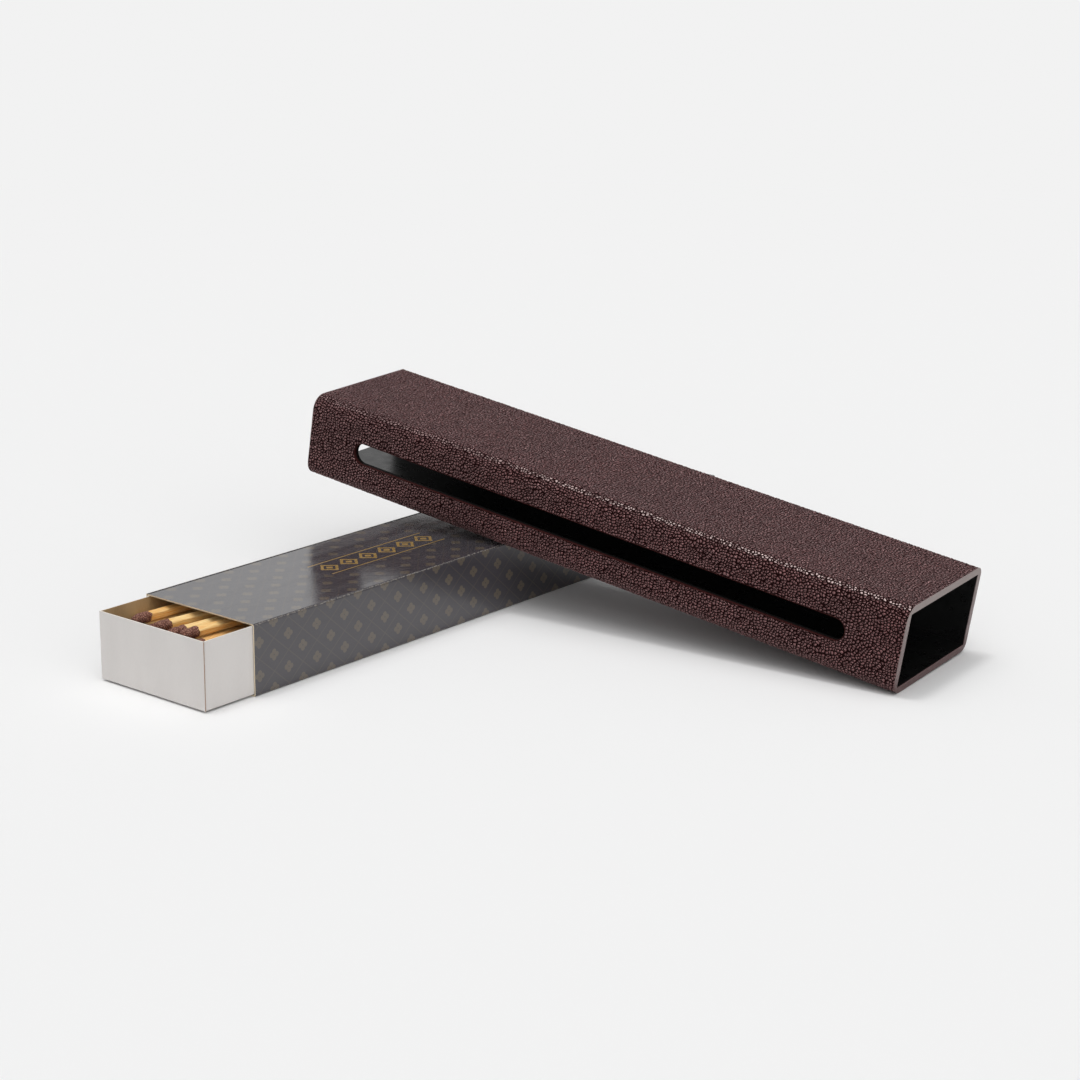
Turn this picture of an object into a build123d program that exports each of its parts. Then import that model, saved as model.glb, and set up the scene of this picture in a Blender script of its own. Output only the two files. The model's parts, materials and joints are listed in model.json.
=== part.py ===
"""Long matchbox with its leather-wrapped holder, laid out as the set is displayed.

The matchbox lies on the ground with its drawer pulled a little way out, and the
open-ended holder leans across it: its low end stands on one corner on the ground
and its underside rests on the near top edge of the box.

Frame: millimetres, +Z up. The origin is on the ground at the middle of the box's
cover. +X runs along the box from the open drawer into the cover, and -Y is the
long side of the box that faces the low end of the holder.
"""

import os
from math import asin, atan2, cos, degrees, hypot, pi, radians, sin, sqrt

from build123d import *

# Cover of the matchbox: one strip of printed card, folded round and glued
cover_length = 290.0
cover_width = 58.2
cover_height = 28.0
card_thickness = 0.5
fold_radius = 0.8
glue_flap_height = 16.0
glue_seam_gap = 0.1

# Striking strip on the long side that carries the glue flap
striker_height = 11.0
striker_thickness = 0.12
striker_end_margin = 4.0

# Drawer: one folded card tray that slides in the cover
drawer_pulled_out = 24.7
drawer_side_clearance = 0.25
drawer_height_clearance = 0.2
drawer_end_recess = 0.3
tray_card_thickness = 0.5
tray_fold_radius = 0.7
tray_inner_fold_radius = 0.2
corner_tab_length = 15.0
corner_tab_drop = 1.5
tab_glue_gap = 0.1

# Matches: square splints with a dipped head, as long as the drawer lets them be
splint_thickness = 3.0
head_length = 7.5
head_thickness = 3.9
head_neck_thickness = 3.5
head_tip_thickness = 2.3
head_flat_sides = 8
head_belly_share = 0.3
head_shoulder_share = 0.72
match_head_end_gap = 4.4
match_tail_end_gap = 4.8
match_spacing_gap = 0.12
head_row_gap = 0.5
tail_row_gap = 0.85
slip_step = 1.3
slip_pattern_shares = (0.0, 1.0, 0.3, 1.6, 0.6, 2.0, 0.2, 1.3, 0.8, 1.8, 0.4, 1.1)

# Loose matches on top: places of their heads, counted in rows from the middle, and
# of their tails, as shares of the drawer's width, then the slip along it and the roll
loose_head_row_shares = (4.276, 1.387, -0.845, -1.892)
loose_tail_shares = (0.254, -0.171, -0.314, -0.423)
loose_slip_shares = (2.0, 0.9, 0.0, 1.3)
loose_rolls = (12.0, 20.0, 10.0, 24.0)

# Holder: an open-ended rectangular sleeve of board, wrapped in leather and lined
holder_length = 280.4
holder_width = 64.8
holder_height = 35.7
leather_thickness = 0.8
board_thickness = 1.8
lining_thickness = 0.3
front_edge_radius = 6.2
back_edge_radius = 3.6
board_edge_relief = 0.2
leather_seam_gap = 0.2
edge_coat_thickness = 0.3
slot_end_margin = 23.8
slot_width = 8.9
slot_coat_thickness = 0.25
coat_glue_gap = 0.05

# How the holder leans on the box
foot_reach = 177.6
lean_crossing = 23.4
lean_swing = 5.62
lean_gap = 0.2

# One overrun for all cuts
cut_overrun = 2.0

# Places in the cover and the drawer
cover_inner_near = cover_width / 2 - card_thickness
cover_inner_far = cover_width / 2 - 2 * card_thickness - glue_seam_gap
tray_width = cover_inner_near + cover_inner_far - 2 * drawer_side_clearance
tray_height = cover_height - 2 * card_thickness - 2 * drawer_height_clearance
tray_length = cover_length - 2 * drawer_end_recess
tray_bottom = card_thickness + drawer_height_clearance
tray_centre_y = (cover_inner_far - cover_inner_near) / 2
tray_front_x = -cover_length / 2 + drawer_end_recess - drawer_pulled_out
tray_floor = tray_bottom + tray_card_thickness
tray_inner_width = tray_width - 2 * tray_card_thickness
tray_side_start = tray_card_thickness + tab_glue_gap
tray_end_build_up = tray_side_start + tray_card_thickness

# Places in the pile of matches: the heads are thicker than the splints, so the
# pile fans out towards them, and one layer's height is left for the loose matches
match_length = tray_length - 2 * tray_end_build_up - match_head_end_gap - match_tail_end_gap
splint_length = match_length - head_length
pile_front_x = tray_front_x + tray_end_build_up + match_head_end_gap
head_layer_pitch = head_thickness + match_spacing_gap
tail_layer_pitch = splint_thickness + match_spacing_gap
head_row_pitch = head_thickness + head_row_gap
tail_row_pitch = splint_thickness + tail_row_gap
matches_in_layer = int(tray_inner_width / head_row_pitch)
packed_layers = int((tray_height - tray_card_thickness) / head_layer_pitch) - 1
pile_centre = (matches_in_layer - 1) / 2

# Places in the holder
lining_outer_width = holder_width - 2 * leather_thickness - 2 * board_thickness
lining_outer_height = holder_height - 2 * leather_thickness - 2 * board_thickness
board_outer_width = holder_width - 2 * leather_thickness
layers_length = holder_length - 2 * edge_coat_thickness
slot_length = holder_length - 2 * slot_end_margin

# Lean of the holder: its underside clears the cover's rounded near top edge
reach_to_fold = foot_reach + fold_radius
rise_to_fold = cover_height - fold_radius
lean_angle = atan2(rise_to_fold, reach_to_fold) + asin(
    (fold_radius + lean_gap) / hypot(reach_to_fold, rise_to_fold)
)
swing_angle = radians(lean_swing)

up_slope = Vector(0, cos(lean_angle), sin(lean_angle))
holder_up = Vector(0, -sin(lean_angle), cos(lean_angle))
holder_along = up_slope * cos(swing_angle) - Vector(sin(swing_angle), 0, 0)
holder_front = holder_up.cross(holder_along)

# The foot is the point of the rounded lower front edge that touches the ground
foot_inset = holder_width / 2 - front_edge_radius
tilt_across = sqrt(holder_front.Z ** 2 + holder_up.Z ** 2)
origin_z = (
    front_edge_radius * tilt_across
    - front_edge_radius * holder_up.Z
    - foot_inset * holder_front.Z
)
origin_y = -cover_width / 2 - foot_reach - foot_inset * holder_front.Y
crossing_run = (-cover_width / 2 - origin_y) / holder_along.Y
origin_x = lean_crossing - crossing_run * holder_along.X
holder_origin = Vector(origin_x, origin_y, origin_z)

parts_folder = "parts"


def save(builder, name):
    """Label a finished piece and write it to its own file."""
    builder.part.label = name
    export_step(builder.part, os.path.join(parts_folder, name + ".step"))


def holder_section(distance):
    """Plane across the holder at a distance from its low end, at mid height."""
    centre = holder_origin + holder_along * distance + holder_up * (holder_height / 2)
    return Plane(origin=centre, x_dir=holder_front, z_dir=holder_along)


def sleeve_outline(inset, relief):
    """Rounded outline of the sleeve at a depth inside it, its front towards +x."""
    with BuildSketch(Plane.XY) as outline:
        Rectangle(holder_width - 2 * inset, holder_height - 2 * inset)
        front_corners = outline.vertices().sort_by(Axis.X)[2:]
        fillet(front_corners, front_edge_radius - inset + relief)
        back_corners = outline.vertices().sort_by(Axis.X)[:2]
        fillet(back_corners, back_edge_radius - inset + relief)
    return outline.sketch


def slot_face(depth):
    """Plane of the slotted side, at a depth below its outer face."""
    centre = (
        holder_origin
        + holder_along * (holder_length / 2)
        + holder_up * (holder_height / 2)
        + holder_front * (holder_width / 2 - depth)
    )
    return Plane(origin=centre, x_dir=holder_along, z_dir=holder_front)


def match_place(head_point, tail_point, roll):
    """Plane at a match's head end, with x along the splint and a roll about it."""
    along = (tail_point - head_point).normalized()
    side = Vector(0, 0, 1).cross(along).normalized()
    level_up = along.cross(side)
    rolled_up = level_up * cos(radians(roll)) - side * sin(radians(roll))
    return Plane(origin=head_point, x_dir=along, z_dir=rolled_up)


# Cover: a folded strip whose glue flap lies inside the far side panel
def make_cover_card():
    side_inner_y = cover_width / 2 - card_thickness
    flap_outer_y = side_inner_y - glue_seam_gap
    with BuildPart() as cover_card:
        with BuildSketch(Plane.YZ.offset(-cover_length / 2)) as strip:
            with Locations((0, cover_height / 2)):
                Rectangle(cover_width, cover_height)
                Rectangle(
                    cover_width - 2 * card_thickness,
                    cover_height - 2 * card_thickness,
                    mode=Mode.SUBTRACT,
                )
            with Locations((flap_outer_y, cover_height - card_thickness)):
                Rectangle(card_thickness, glue_flap_height, align=(Align.MAX, Align.MAX))
            with Locations((side_inner_y, cover_height + cut_overrun)):
                Rectangle(
                    glue_seam_gap,
                    cut_overrun + card_thickness + glue_flap_height,
                    align=(Align.MAX, Align.MAX),
                    mode=Mode.SUBTRACT,
                )
            outer_folds = [
                (-cover_width / 2, 0),
                (cover_width / 2, 0),
                (-cover_width / 2, cover_height),
                (flap_outer_y, cover_height),
            ]
            fillet([strip.vertices().sort_by_distance(point)[0] for point in outer_folds], fold_radius)
            inner_near = -cover_inner_near
            inner_folds = [
                (inner_near, card_thickness),
                (side_inner_y, card_thickness),
                (inner_near, cover_height - card_thickness),
                (flap_outer_y - card_thickness, cover_height - card_thickness),
            ]
            fillet(
                [strip.vertices().sort_by_distance(point)[0] for point in inner_folds],
                fold_radius - card_thickness,
            )
        extrude(amount=cover_length)
    save(cover_card, "cover_card")


# Striking strip: a thin coated band on the far side panel
def make_striker_strip():
    with BuildPart() as striker_strip:
        with BuildSketch(Plane.XZ.offset(-cover_width / 2)):
            with Locations((0, cover_height / 2)):
                Rectangle(cover_length - 2 * striker_end_margin, striker_height)
        extrude(amount=-striker_thickness)
    save(striker_strip, "striker_strip")


# Drawer: floor and long sides folded up, end panels folded up in front of the
# corner tabs, which are turned in from the sides
def make_tray_card():
    mid_y = tray_centre_y
    side_length = tray_length - 2 * tray_side_start
    side_height = tray_height - tray_card_thickness
    with BuildPart() as tray_card:
        with BuildSketch(Plane.YZ.offset(tray_front_x + tray_side_start)) as section:
            with Locations((mid_y, tray_bottom)):
                Rectangle(tray_width, tray_height, align=(Align.CENTER, Align.MIN))
            with Locations((mid_y, tray_floor)):
                Rectangle(
                    tray_inner_width,
                    tray_height,
                    align=(Align.CENTER, Align.MIN),
                    mode=Mode.SUBTRACT,
                )
            low_corners = [(mid_y + side * tray_width / 2, tray_bottom) for side in (-1, 1)]
            fillet([section.vertices().sort_by_distance(point)[0] for point in low_corners], tray_fold_radius)
            inside_corners = [(mid_y + side * tray_inner_width / 2, tray_floor) for side in (-1, 1)]
            fillet(
                [section.vertices().sort_by_distance(point)[0] for point in inside_corners],
                tray_inner_fold_radius,
            )
        extrude(amount=side_length)
        for end in (-1, 1):
            panel_x = tray_front_x + tray_length / 2 + end * (tray_length / 2)
            tab_x = panel_x - end * tray_side_start
            with BuildSketch(Plane.XY.offset(tray_bottom)):
                with Locations((panel_x, mid_y)):
                    Rectangle(
                        tray_card_thickness,
                        tray_width,
                        align=(Align.MIN if end < 0 else Align.MAX, Align.CENTER),
                    )
            extrude(amount=tray_height)
            with BuildSketch(Plane.XY.offset(tray_bottom)):
                with Locations((panel_x, mid_y)):
                    Rectangle(
                        tray_side_start + tray_card_thickness,
                        tray_inner_width,
                        align=(Align.MIN if end < 0 else Align.MAX, Align.CENTER),
                    )
            extrude(amount=tray_card_thickness)
            with BuildSketch(Plane.XY.offset(tray_floor + tab_glue_gap)):
                for side in (-1, 1):
                    with Locations((tab_x, mid_y + side * tray_inner_width / 2)):
                        Rectangle(
                            tray_card_thickness,
                            corner_tab_length,
                            align=(
                                Align.MIN if end < 0 else Align.MAX,
                                Align.MIN if side < 0 else Align.MAX,
                            ),
                        )
            extrude(amount=side_height - tab_glue_gap - corner_tab_drop)
        bottom_folds = tray_card.edges().filter_by(Axis.Y).group_by(Axis.Z)[0]
        fillet([bottom_folds.sort_by(Axis.X)[0], bottom_folds.sort_by(Axis.X)[-1]], tray_fold_radius / 2)
    save(tray_card, "tray_card")


# Matches: all heads lie at the drawer's open end
def head_solid():
    """One dipped head, from the splint's end at x = 0 to its tip at -x."""
    belly = head_belly_share * head_length
    tip = head_length - head_shoulder_share * head_length
    flat_turn = pi / head_flat_sides
    corner_radius = head_thickness / 2 / cos(flat_turn)
    with BuildPart() as head:
        with BuildSketch(Plane.YZ):
            RegularPolygon(corner_radius, head_flat_sides, rotation=degrees(flat_turn))
        extrude(amount=-head_length)
        tip_face = head.faces().sort_by(Axis.X)[0]
        chamfer(tip_face.edges(), (head_thickness - head_tip_thickness) / 2, tip, reference=tip_face)
        neck_face = head.faces().sort_by(Axis.X)[-1]
        chamfer(neck_face.edges(), (head_thickness - head_neck_thickness) / 2, belly, reference=neck_face)
    return head.part


def packed_places(layer):
    """Planes of the matches of one layer, counted up from the tray's floor."""
    places = []
    head_z = tray_floor + head_thickness / 2 + match_spacing_gap + layer * head_layer_pitch
    tail_z = tray_floor + splint_thickness / 2 + match_spacing_gap + layer * tail_layer_pitch
    for row in range(matches_in_layer):
        slip = slip_pattern_shares[(row * 5 + layer * 3) % len(slip_pattern_shares)] * slip_step
        head_y = tray_centre_y + (row - pile_centre) * head_row_pitch
        tail_y = tray_centre_y + (row - pile_centre) * tail_row_pitch
        head_x = pile_front_x + slip + head_length
        tail_x = head_x + splint_length
        places.append(
            match_place(Vector(head_x, head_y, head_z), Vector(tail_x, tail_y, tail_z), 0)
        )
    return places


def loose_places():
    """Planes of the loose matches that lie askew on the packed layers."""
    places = []
    settings = zip(loose_head_row_shares, loose_tail_shares, loose_slip_shares, loose_rolls)
    for head_row, tail_share, slip, roll in settings:
        roll_rise = splint_thickness / 2 * (cos(radians(roll)) + sin(radians(roll)))
        head_rise = max(head_thickness / 2, roll_rise)
        head_z = tray_floor + match_spacing_gap + packed_layers * head_layer_pitch + head_rise
        tail_z = tray_floor + match_spacing_gap + packed_layers * tail_layer_pitch + roll_rise
        head_x = pile_front_x + slip * slip_step + head_length
        head_y = tray_centre_y + head_row * head_row_pitch
        tail_y = tray_centre_y + tail_share * tray_inner_width
        head_point = Vector(head_x, head_y, head_z)
        tail_point = Vector(head_x + splint_length, tail_y, tail_z)
        places.append(match_place(head_point, tail_point, roll))
    return places


def make_matches(places, splints_name, heads_name):
    """Write one group of splints and one group of their heads."""
    head = head_solid()
    locations = [Location(place) for place in places]
    with BuildPart() as splints:
        with Locations(*locations):
            Box(
                splint_length,
                splint_thickness,
                splint_thickness,
                align=(Align.MIN, Align.CENTER, Align.CENTER),
            )
    save(splints, splints_name)
    with BuildPart() as heads:
        with Locations(*locations):
            add(head)
    save(heads, heads_name)


# Holder shell: leather wrapped round the boards and butted along the underside
def make_leather_wrap():
    outer_outline = sleeve_outline(0, 0)
    inner_outline = sleeve_outline(leather_thickness, 0)
    with BuildPart() as leather_wrap:
        with BuildSketch(holder_section(edge_coat_thickness)):
            add(outer_outline)
            add(inner_outline, mode=Mode.SUBTRACT)
            with Locations((0, -holder_height / 2)):
                Rectangle(leather_seam_gap, 2 * cut_overrun, mode=Mode.SUBTRACT)
        extrude(amount=layers_length)
        cut_slot_opening()
    save(leather_wrap, "leather_wrap")


def cut_slot_opening():
    """Cut the long slot, with room for its edge coat, from the part being built."""
    with BuildSketch(slot_face(-cut_overrun)) as opening:
        SlotOverall(
            slot_length + 2 * slot_coat_thickness + 2 * coat_glue_gap,
            slot_width + 2 * slot_coat_thickness + 2 * coat_glue_gap,
        )
    wall = leather_thickness + board_thickness + lining_thickness
    extrude(opening.sketch, amount=-(wall + 2 * cut_overrun), mode=Mode.SUBTRACT)


# Boards: top and bottom run across, the slotted and the back board stand between
def make_board(name, span_width, span_height, shift_across, shift_up, slotted):
    core_outline = sleeve_outline(leather_thickness, board_edge_relief)
    with BuildPart() as board:
        with BuildSketch(holder_section(edge_coat_thickness)):
            add(core_outline)
            Rectangle(lining_outer_width, lining_outer_height, mode=Mode.SUBTRACT)
            with Locations((shift_across, shift_up)):
                Rectangle(span_width, span_height, mode=Mode.INTERSECT)
        extrude(amount=layers_length)
        if slotted:
            cut_slot_opening()
    save(board, name)


def make_boards():
    up = (lining_outer_height + board_thickness) / 2
    across = (lining_outer_width + board_thickness) / 2
    make_board("core_top_board", board_outer_width, board_thickness, 0, up, False)
    make_board("core_bottom_board", board_outer_width, board_thickness, 0, -up, False)
    make_board("core_slotted_board", board_thickness, lining_outer_height, across, 0, True)
    make_board("core_back_board", board_thickness, lining_outer_height, -across, 0, False)


# Lining: a thin black tube with square inner corners
def make_lining():
    with BuildPart() as lining:
        with BuildSketch(holder_section(edge_coat_thickness)):
            Rectangle(lining_outer_width, lining_outer_height)
            Rectangle(
                lining_outer_width - 2 * lining_thickness,
                lining_outer_height - 2 * lining_thickness,
                mode=Mode.SUBTRACT,
            )
        extrude(amount=layers_length)
        cut_slot_opening()
    save(lining, "lining")


# Edge coats: the painted cut edges at both ends and round the slot
def make_end_coat(name, start):
    end_outline = sleeve_outline(0, 0)
    with BuildPart() as end_coat:
        with BuildSketch(holder_section(start)):
            add(end_outline)
            Rectangle(
                lining_outer_width - 2 * lining_thickness,
                lining_outer_height - 2 * lining_thickness,
                mode=Mode.SUBTRACT,
            )
        extrude(amount=edge_coat_thickness)
    save(end_coat, name)


def make_slot_coat():
    wall = leather_thickness + board_thickness + lining_thickness
    with BuildPart() as slot_coat:
        with BuildSketch(slot_face(0)):
            SlotOverall(slot_length + 2 * slot_coat_thickness, slot_width + 2 * slot_coat_thickness)
            SlotOverall(slot_length, slot_width, mode=Mode.SUBTRACT)
        extrude(amount=-wall)
    save(slot_coat, "slot_edge_coat")


os.makedirs(parts_folder, exist_ok=True)
make_cover_card()
make_striker_strip()
make_tray_card()
for layer_index in range(packed_layers):
    layer_number = str(layer_index + 1)
    make_matches(
        packed_places(layer_index),
        "match_splints_layer_" + layer_number,
        "match_heads_layer_" + layer_number,
    )
make_matches(loose_places(), "loose_match_splints", "loose_match_heads")
make_leather_wrap()
make_boards()
make_lining()
make_end_coat("low_end_edge_coat", 0)
make_end_coat("high_end_edge_coat", holder_length - edge_coat_thickness)
make_slot_coat()
print("lean in degrees", degrees(lean_angle), "holder corner", holder_origin)
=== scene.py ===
"""Dresses a long matchbox and the leather-wrapped holder that leans across it.

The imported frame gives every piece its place. The classes below build the visible
meshes of one sub-assembly each, in metres, and give every surface its finish.
"""

import json
import logging
import math
from dataclasses import dataclass
from enum import Enum
from typing import Any, Sequence

import bmesh
import bpy
import numpy as np
from mathutils import Matrix, Vector
from mathutils.geometry import delaunay_2d_cdt


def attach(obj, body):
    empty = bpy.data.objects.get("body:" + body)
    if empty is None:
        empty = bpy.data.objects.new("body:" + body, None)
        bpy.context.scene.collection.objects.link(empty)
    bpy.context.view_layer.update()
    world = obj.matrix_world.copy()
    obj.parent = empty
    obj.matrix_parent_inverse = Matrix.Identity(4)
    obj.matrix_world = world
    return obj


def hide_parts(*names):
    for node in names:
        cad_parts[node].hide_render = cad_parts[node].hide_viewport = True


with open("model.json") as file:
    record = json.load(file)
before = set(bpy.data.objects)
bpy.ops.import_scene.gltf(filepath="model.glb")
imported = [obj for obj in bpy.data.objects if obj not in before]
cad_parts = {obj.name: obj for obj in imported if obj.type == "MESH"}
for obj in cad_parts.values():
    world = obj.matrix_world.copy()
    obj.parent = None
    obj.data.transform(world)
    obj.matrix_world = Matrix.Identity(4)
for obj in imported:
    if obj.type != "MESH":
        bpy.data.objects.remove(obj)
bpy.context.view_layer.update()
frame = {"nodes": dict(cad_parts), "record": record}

MM = 0.001
log = logging.getLogger("matchbox_holder")

Colour = tuple[float, float, float, float]
Faces = list[tuple[int, ...]]
Socket = bpy.types.NodeSocket
# Start and end of an ease, then its two results where they aren't 0 and 1.
Span = tuple[float, ...]


class Body(str, Enum):
    """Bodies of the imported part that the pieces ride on."""

    COVER = "matchbox_cover"
    DRAWER = "drawer"
    HOLDER = "holder"


class Slot(str, Enum):
    """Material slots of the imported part."""

    LEATHER = "burgundy_leather"
    BOARD = "grey_board"
    LINING = "black_lining"
    EDGE_PAINT = "taupe_edge_paint"
    SLOT_PAINT = "dark_slot_paint"
    PRINTED_CARD = "printed_card"
    STRIKER = "striking_coat"
    TRAY_CARD = "white_tray_card"
    SPLINT = "splint_wood"
    HEAD = "match_head_mix"


def tone(red: float, green: float, blue: float) -> Colour:
    """A colour as a screen shows it, from 0 to 255, as linear light.

    Args:
        red: Red as shown.
        green: Green as shown.
        blue: Blue as shown.

    Returns:
        The linear colour with full alpha.
    """
    shown = np.array([red, green, blue]) / 255
    light = np.where(shown <= 0.04045, shown / 12.92, ((shown + 0.055) / 1.055) ** 2.4)
    return (float(light[0]), float(light[1]), float(light[2]), 1.0)


class NodeBench:
    """Lays out and joins the nodes of one material, world or node group."""

    def __init__(self, tree: bpy.types.NodeTree) -> None:
        """Starts on an empty or a fresh node tree."""
        self.tree = tree

    def add(self, kind: str, inputs: dict[Any, Any] | None = None, **settings: Any) -> bpy.types.Node:
        """Adds a node, sets it up and joins its inputs.

        Args:
            kind: The node's type.
            inputs: Values or sockets for its inputs, by name or number.
            **settings: Values for the node's own settings.

        Returns:
            The new node.
        """
        node = self.tree.nodes.new(kind)
        for name, value in settings.items():
            setattr(node, name, value)
        for name, value in (inputs or {}).items():
            self.feed(node.inputs[name], value)
        return node

    def feed(self, socket: Socket, value: Any) -> None:
        """Gives an input a value, or joins it to another node's output.

        Args:
            socket: The input.
            value: The value, or the output that it is joined to.
        """
        if isinstance(value, Socket):
            self.tree.links.new(value, socket)
        else:
            socket.default_value = value

    def sum(self, operation: str, *terms: Any, clamp: bool = False) -> Socket:
        """One step of arithmetic on numbers or sockets.

        Args:
            operation: The name of the step, such as ADD.
            *terms: The numbers or sockets that it takes.
            clamp: Whether the result is kept from 0 to 1.

        Returns:
            The result's socket.
        """
        node = self.add("ShaderNodeMath", dict(enumerate(terms)), operation=operation, use_clamp=clamp)
        return node.outputs[0]

    def vector(self, operation: str, *terms: Any) -> Socket:
        """One step of arithmetic on vectors.

        Args:
            operation: The name of the step, such as SCALE.
            *terms: The vectors that it takes.

        Returns:
            The result's socket.
        """
        node = self.add("ShaderNodeVectorMath", dict(enumerate(terms)), operation=operation)
        single = operation in ("DOT_PRODUCT", "LENGTH", "DISTANCE")
        return node.outputs["Value" if single else "Vector"]

    def parts(self, vector: Socket) -> list[Socket]:
        """The X, Y and Z of a vector."""
        return list(self.add("ShaderNodeSeparateXYZ", {0: vector}).outputs)

    def join(self, x: Any, y: Any, z: Any = 0.0) -> Socket:
        """A vector from its X, Y and Z."""
        return self.add("ShaderNodeCombineXYZ", {0: x, 1: y, 2: z}).outputs[0]

    def ease(self, value: Any, start: float, end: float, low: float = 0.0, high: float = 1.0) -> Socket:
        """Moves smoothly from one value to another as the input crosses a span.

        Args:
            value: The input.
            start: Where the span starts.
            end: Where the span ends.
            low: The result before the span.
            high: The result after the span.

        Returns:
            The result's socket.
        """
        rising = start < end
        ends = (start, end, low, high) if rising else (end, start, high, low)
        node = self.add(
            "ShaderNodeMapRange",
            {0: value, 1: ends[0], 2: ends[1], 3: ends[2], 4: ends[3]},
            interpolation_type="SMOOTHSTEP",
        )
        return node.outputs[0]

    def blend(self, share: Any, first: Any, second: Any, how: str = "MIX") -> Socket:
        """Blends two colours.

        Args:
            share: How much of the second colour shows.
            first: The first colour.
            second: The second colour.
            how: The way that they blend.

        Returns:
            The blended colour's socket.
        """
        node = self.add("ShaderNodeMix", {0: share, 6: first, 7: second}, data_type="RGBA", blend_type=how)
        return node.outputs[2]

    def noise(self, place: Any, scale: float, detail: float = 2.0, rough: float = 0.5) -> Socket:
        """Soft noise from 0 to 1.

        Args:
            place: The coordinate.
            scale: Waves in each unit of the coordinate.
            detail: How many finer layers are added.
            rough: How strong each finer layer is.

        Returns:
            The noise's socket.
        """
        settings = {"Vector": place, "Scale": scale, "Detail": detail, "Roughness": rough}
        return self.add("ShaderNodeTexNoise", settings).outputs[0]

    def product(self, first: Any, *others: Any) -> Socket:
        """The product of two or more numbers or sockets.

        Args:
            first: The first of them.
            *others: The rest.

        Returns:
            The product's socket.
        """
        for other in others:
            first = self.sum("MULTIPLY", first, other)
        return first

    def between(self, share: Any, first: Any, second: Any) -> Socket:
        """A number between two others, by the share of the second."""
        return self.add("ShaderNodeMix", {0: share, 2: first, 3: second}).outputs[0]

    def place_mm(self) -> Socket:
        """The point on the piece in millimetres, in the row's frame at rest."""
        here = self.add("ShaderNodeTexCoord").outputs["Object"]
        return self.add("ShaderNodeVectorMath", {0: here, 3: 1 / MM}, operation="SCALE").outputs[0]


class MaterialBench(NodeBench):
    """A material with one Principled surface."""

    def __init__(self, name: str) -> None:
        """Makes the material and its surface node.

        Args:
            name: The material's name.
        """
        self.material = bpy.data.materials.new(name)
        self.material.use_nodes = True
        super().__init__(self.material.node_tree)
        self.surface = self.tree.nodes["Principled BSDF"]

    def finish(self, **inputs: Any) -> bpy.types.Material:
        """Sets or joins the surface's inputs.

        Args:
            **inputs: Values or sockets by the input's name, with _ for a space.

        Returns:
            The finished material.
        """
        for name, value in inputs.items():
            self.feed(self.surface.inputs[name.replace("_", " ")], value)
        return self.material

    def bump(self, height: Any, depth: float, strength: float = 1.0) -> Socket:
        """A normal from a height.

        Args:
            height: The height, from 0 to 1.
            depth: The height of 1, in metres.
            strength: How much of it shows.

        Returns:
            The normal's socket.
        """
        settings = {"Height": height, "Distance": depth, "Strength": strength}
        return self.add("ShaderNodeBump", settings).outputs[0]

    def effect(self, group: bpy.types.NodeTree, **inputs: Any) -> bpy.types.Node:
        """Places a shared effect.

        Args:
            group: The effect's node group.
            **inputs: Values or sockets by the input's name.

        Returns:
            The group's node.
        """
        return self.add("ShaderNodeGroup", inputs, node_tree=group)


def new_group(name: str, inputs: dict[str, str], outputs: dict[str, str]) -> bpy.types.NodeTree:
    """An empty shader node group with named sockets.

    Args:
        name: The group's name.
        inputs: The kinds of its inputs, by name.
        outputs: The kinds of its outputs, by name.

    Returns:
        The group.
    """
    group = bpy.data.node_groups.new(name, "ShaderNodeTree")
    for label, kind in inputs.items():
        group.interface.new_socket(label, in_out="INPUT", socket_type="NodeSocket" + kind)
    for label, kind in outputs.items():
        group.interface.new_socket(label, in_out="OUTPUT", socket_type="NodeSocket" + kind)
    return group


class Effects:
    """The effects that more than one finish uses, each a node group built once."""

    streak_detail: float = 3.0
    streak_roughness: float = 0.6
    cloud_waves: float = 0.06
    grain_span: Span = (0.75, 0.1)

    def __init__(self) -> None:
        """Builds the groups."""
        self.fibres = self.make_fibres()
        self.grit = self.make_grit()

    def make_fibres(self) -> bpy.types.NodeTree:
        """Paper and wood fibres: long fine streaks over a soft cloud.

        Returns:
            The group.
        """
        group = new_group(
            "fibre_mottle",
            {"Place": "Vector", "Fineness": "Float"},
            {"Streaks": "Float", "Cloud": "Float"},
        )
        bench = NodeBench(group)
        given = bench.add("NodeGroupInput")
        place = given.outputs["Place"]
        streaks = bench.noise(place, 1.0, self.streak_detail, self.streak_roughness)
        bench.feed(streaks.node.inputs["Scale"], given.outputs["Fineness"])
        cloud = bench.noise(place, self.cloud_waves)
        bench.add("NodeGroupOutput", {"Streaks": streaks, "Cloud": cloud})
        return group

    def make_grit(self) -> bpy.types.NodeTree:
        """Packed grains with soft gaps between them.

        Returns:
            The group.
        """
        group = new_group(
            "fine_grit",
            {"Place": "Vector", "Fineness": "Float"},
            {"Height": "Float", "Grain": "Color"},
        )
        bench = NodeBench(group)
        given = bench.add("NodeGroupInput")
        cells = bench.add(
            "ShaderNodeTexVoronoi",
            {"Vector": given.outputs["Place"], "Scale": given.outputs["Fineness"]},
        )
        height = bench.ease(cells.outputs["Distance"], *self.grain_span)
        bench.add("NodeGroupOutput", {"Height": height, "Grain": cells.outputs["Color"]})
        return group


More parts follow.
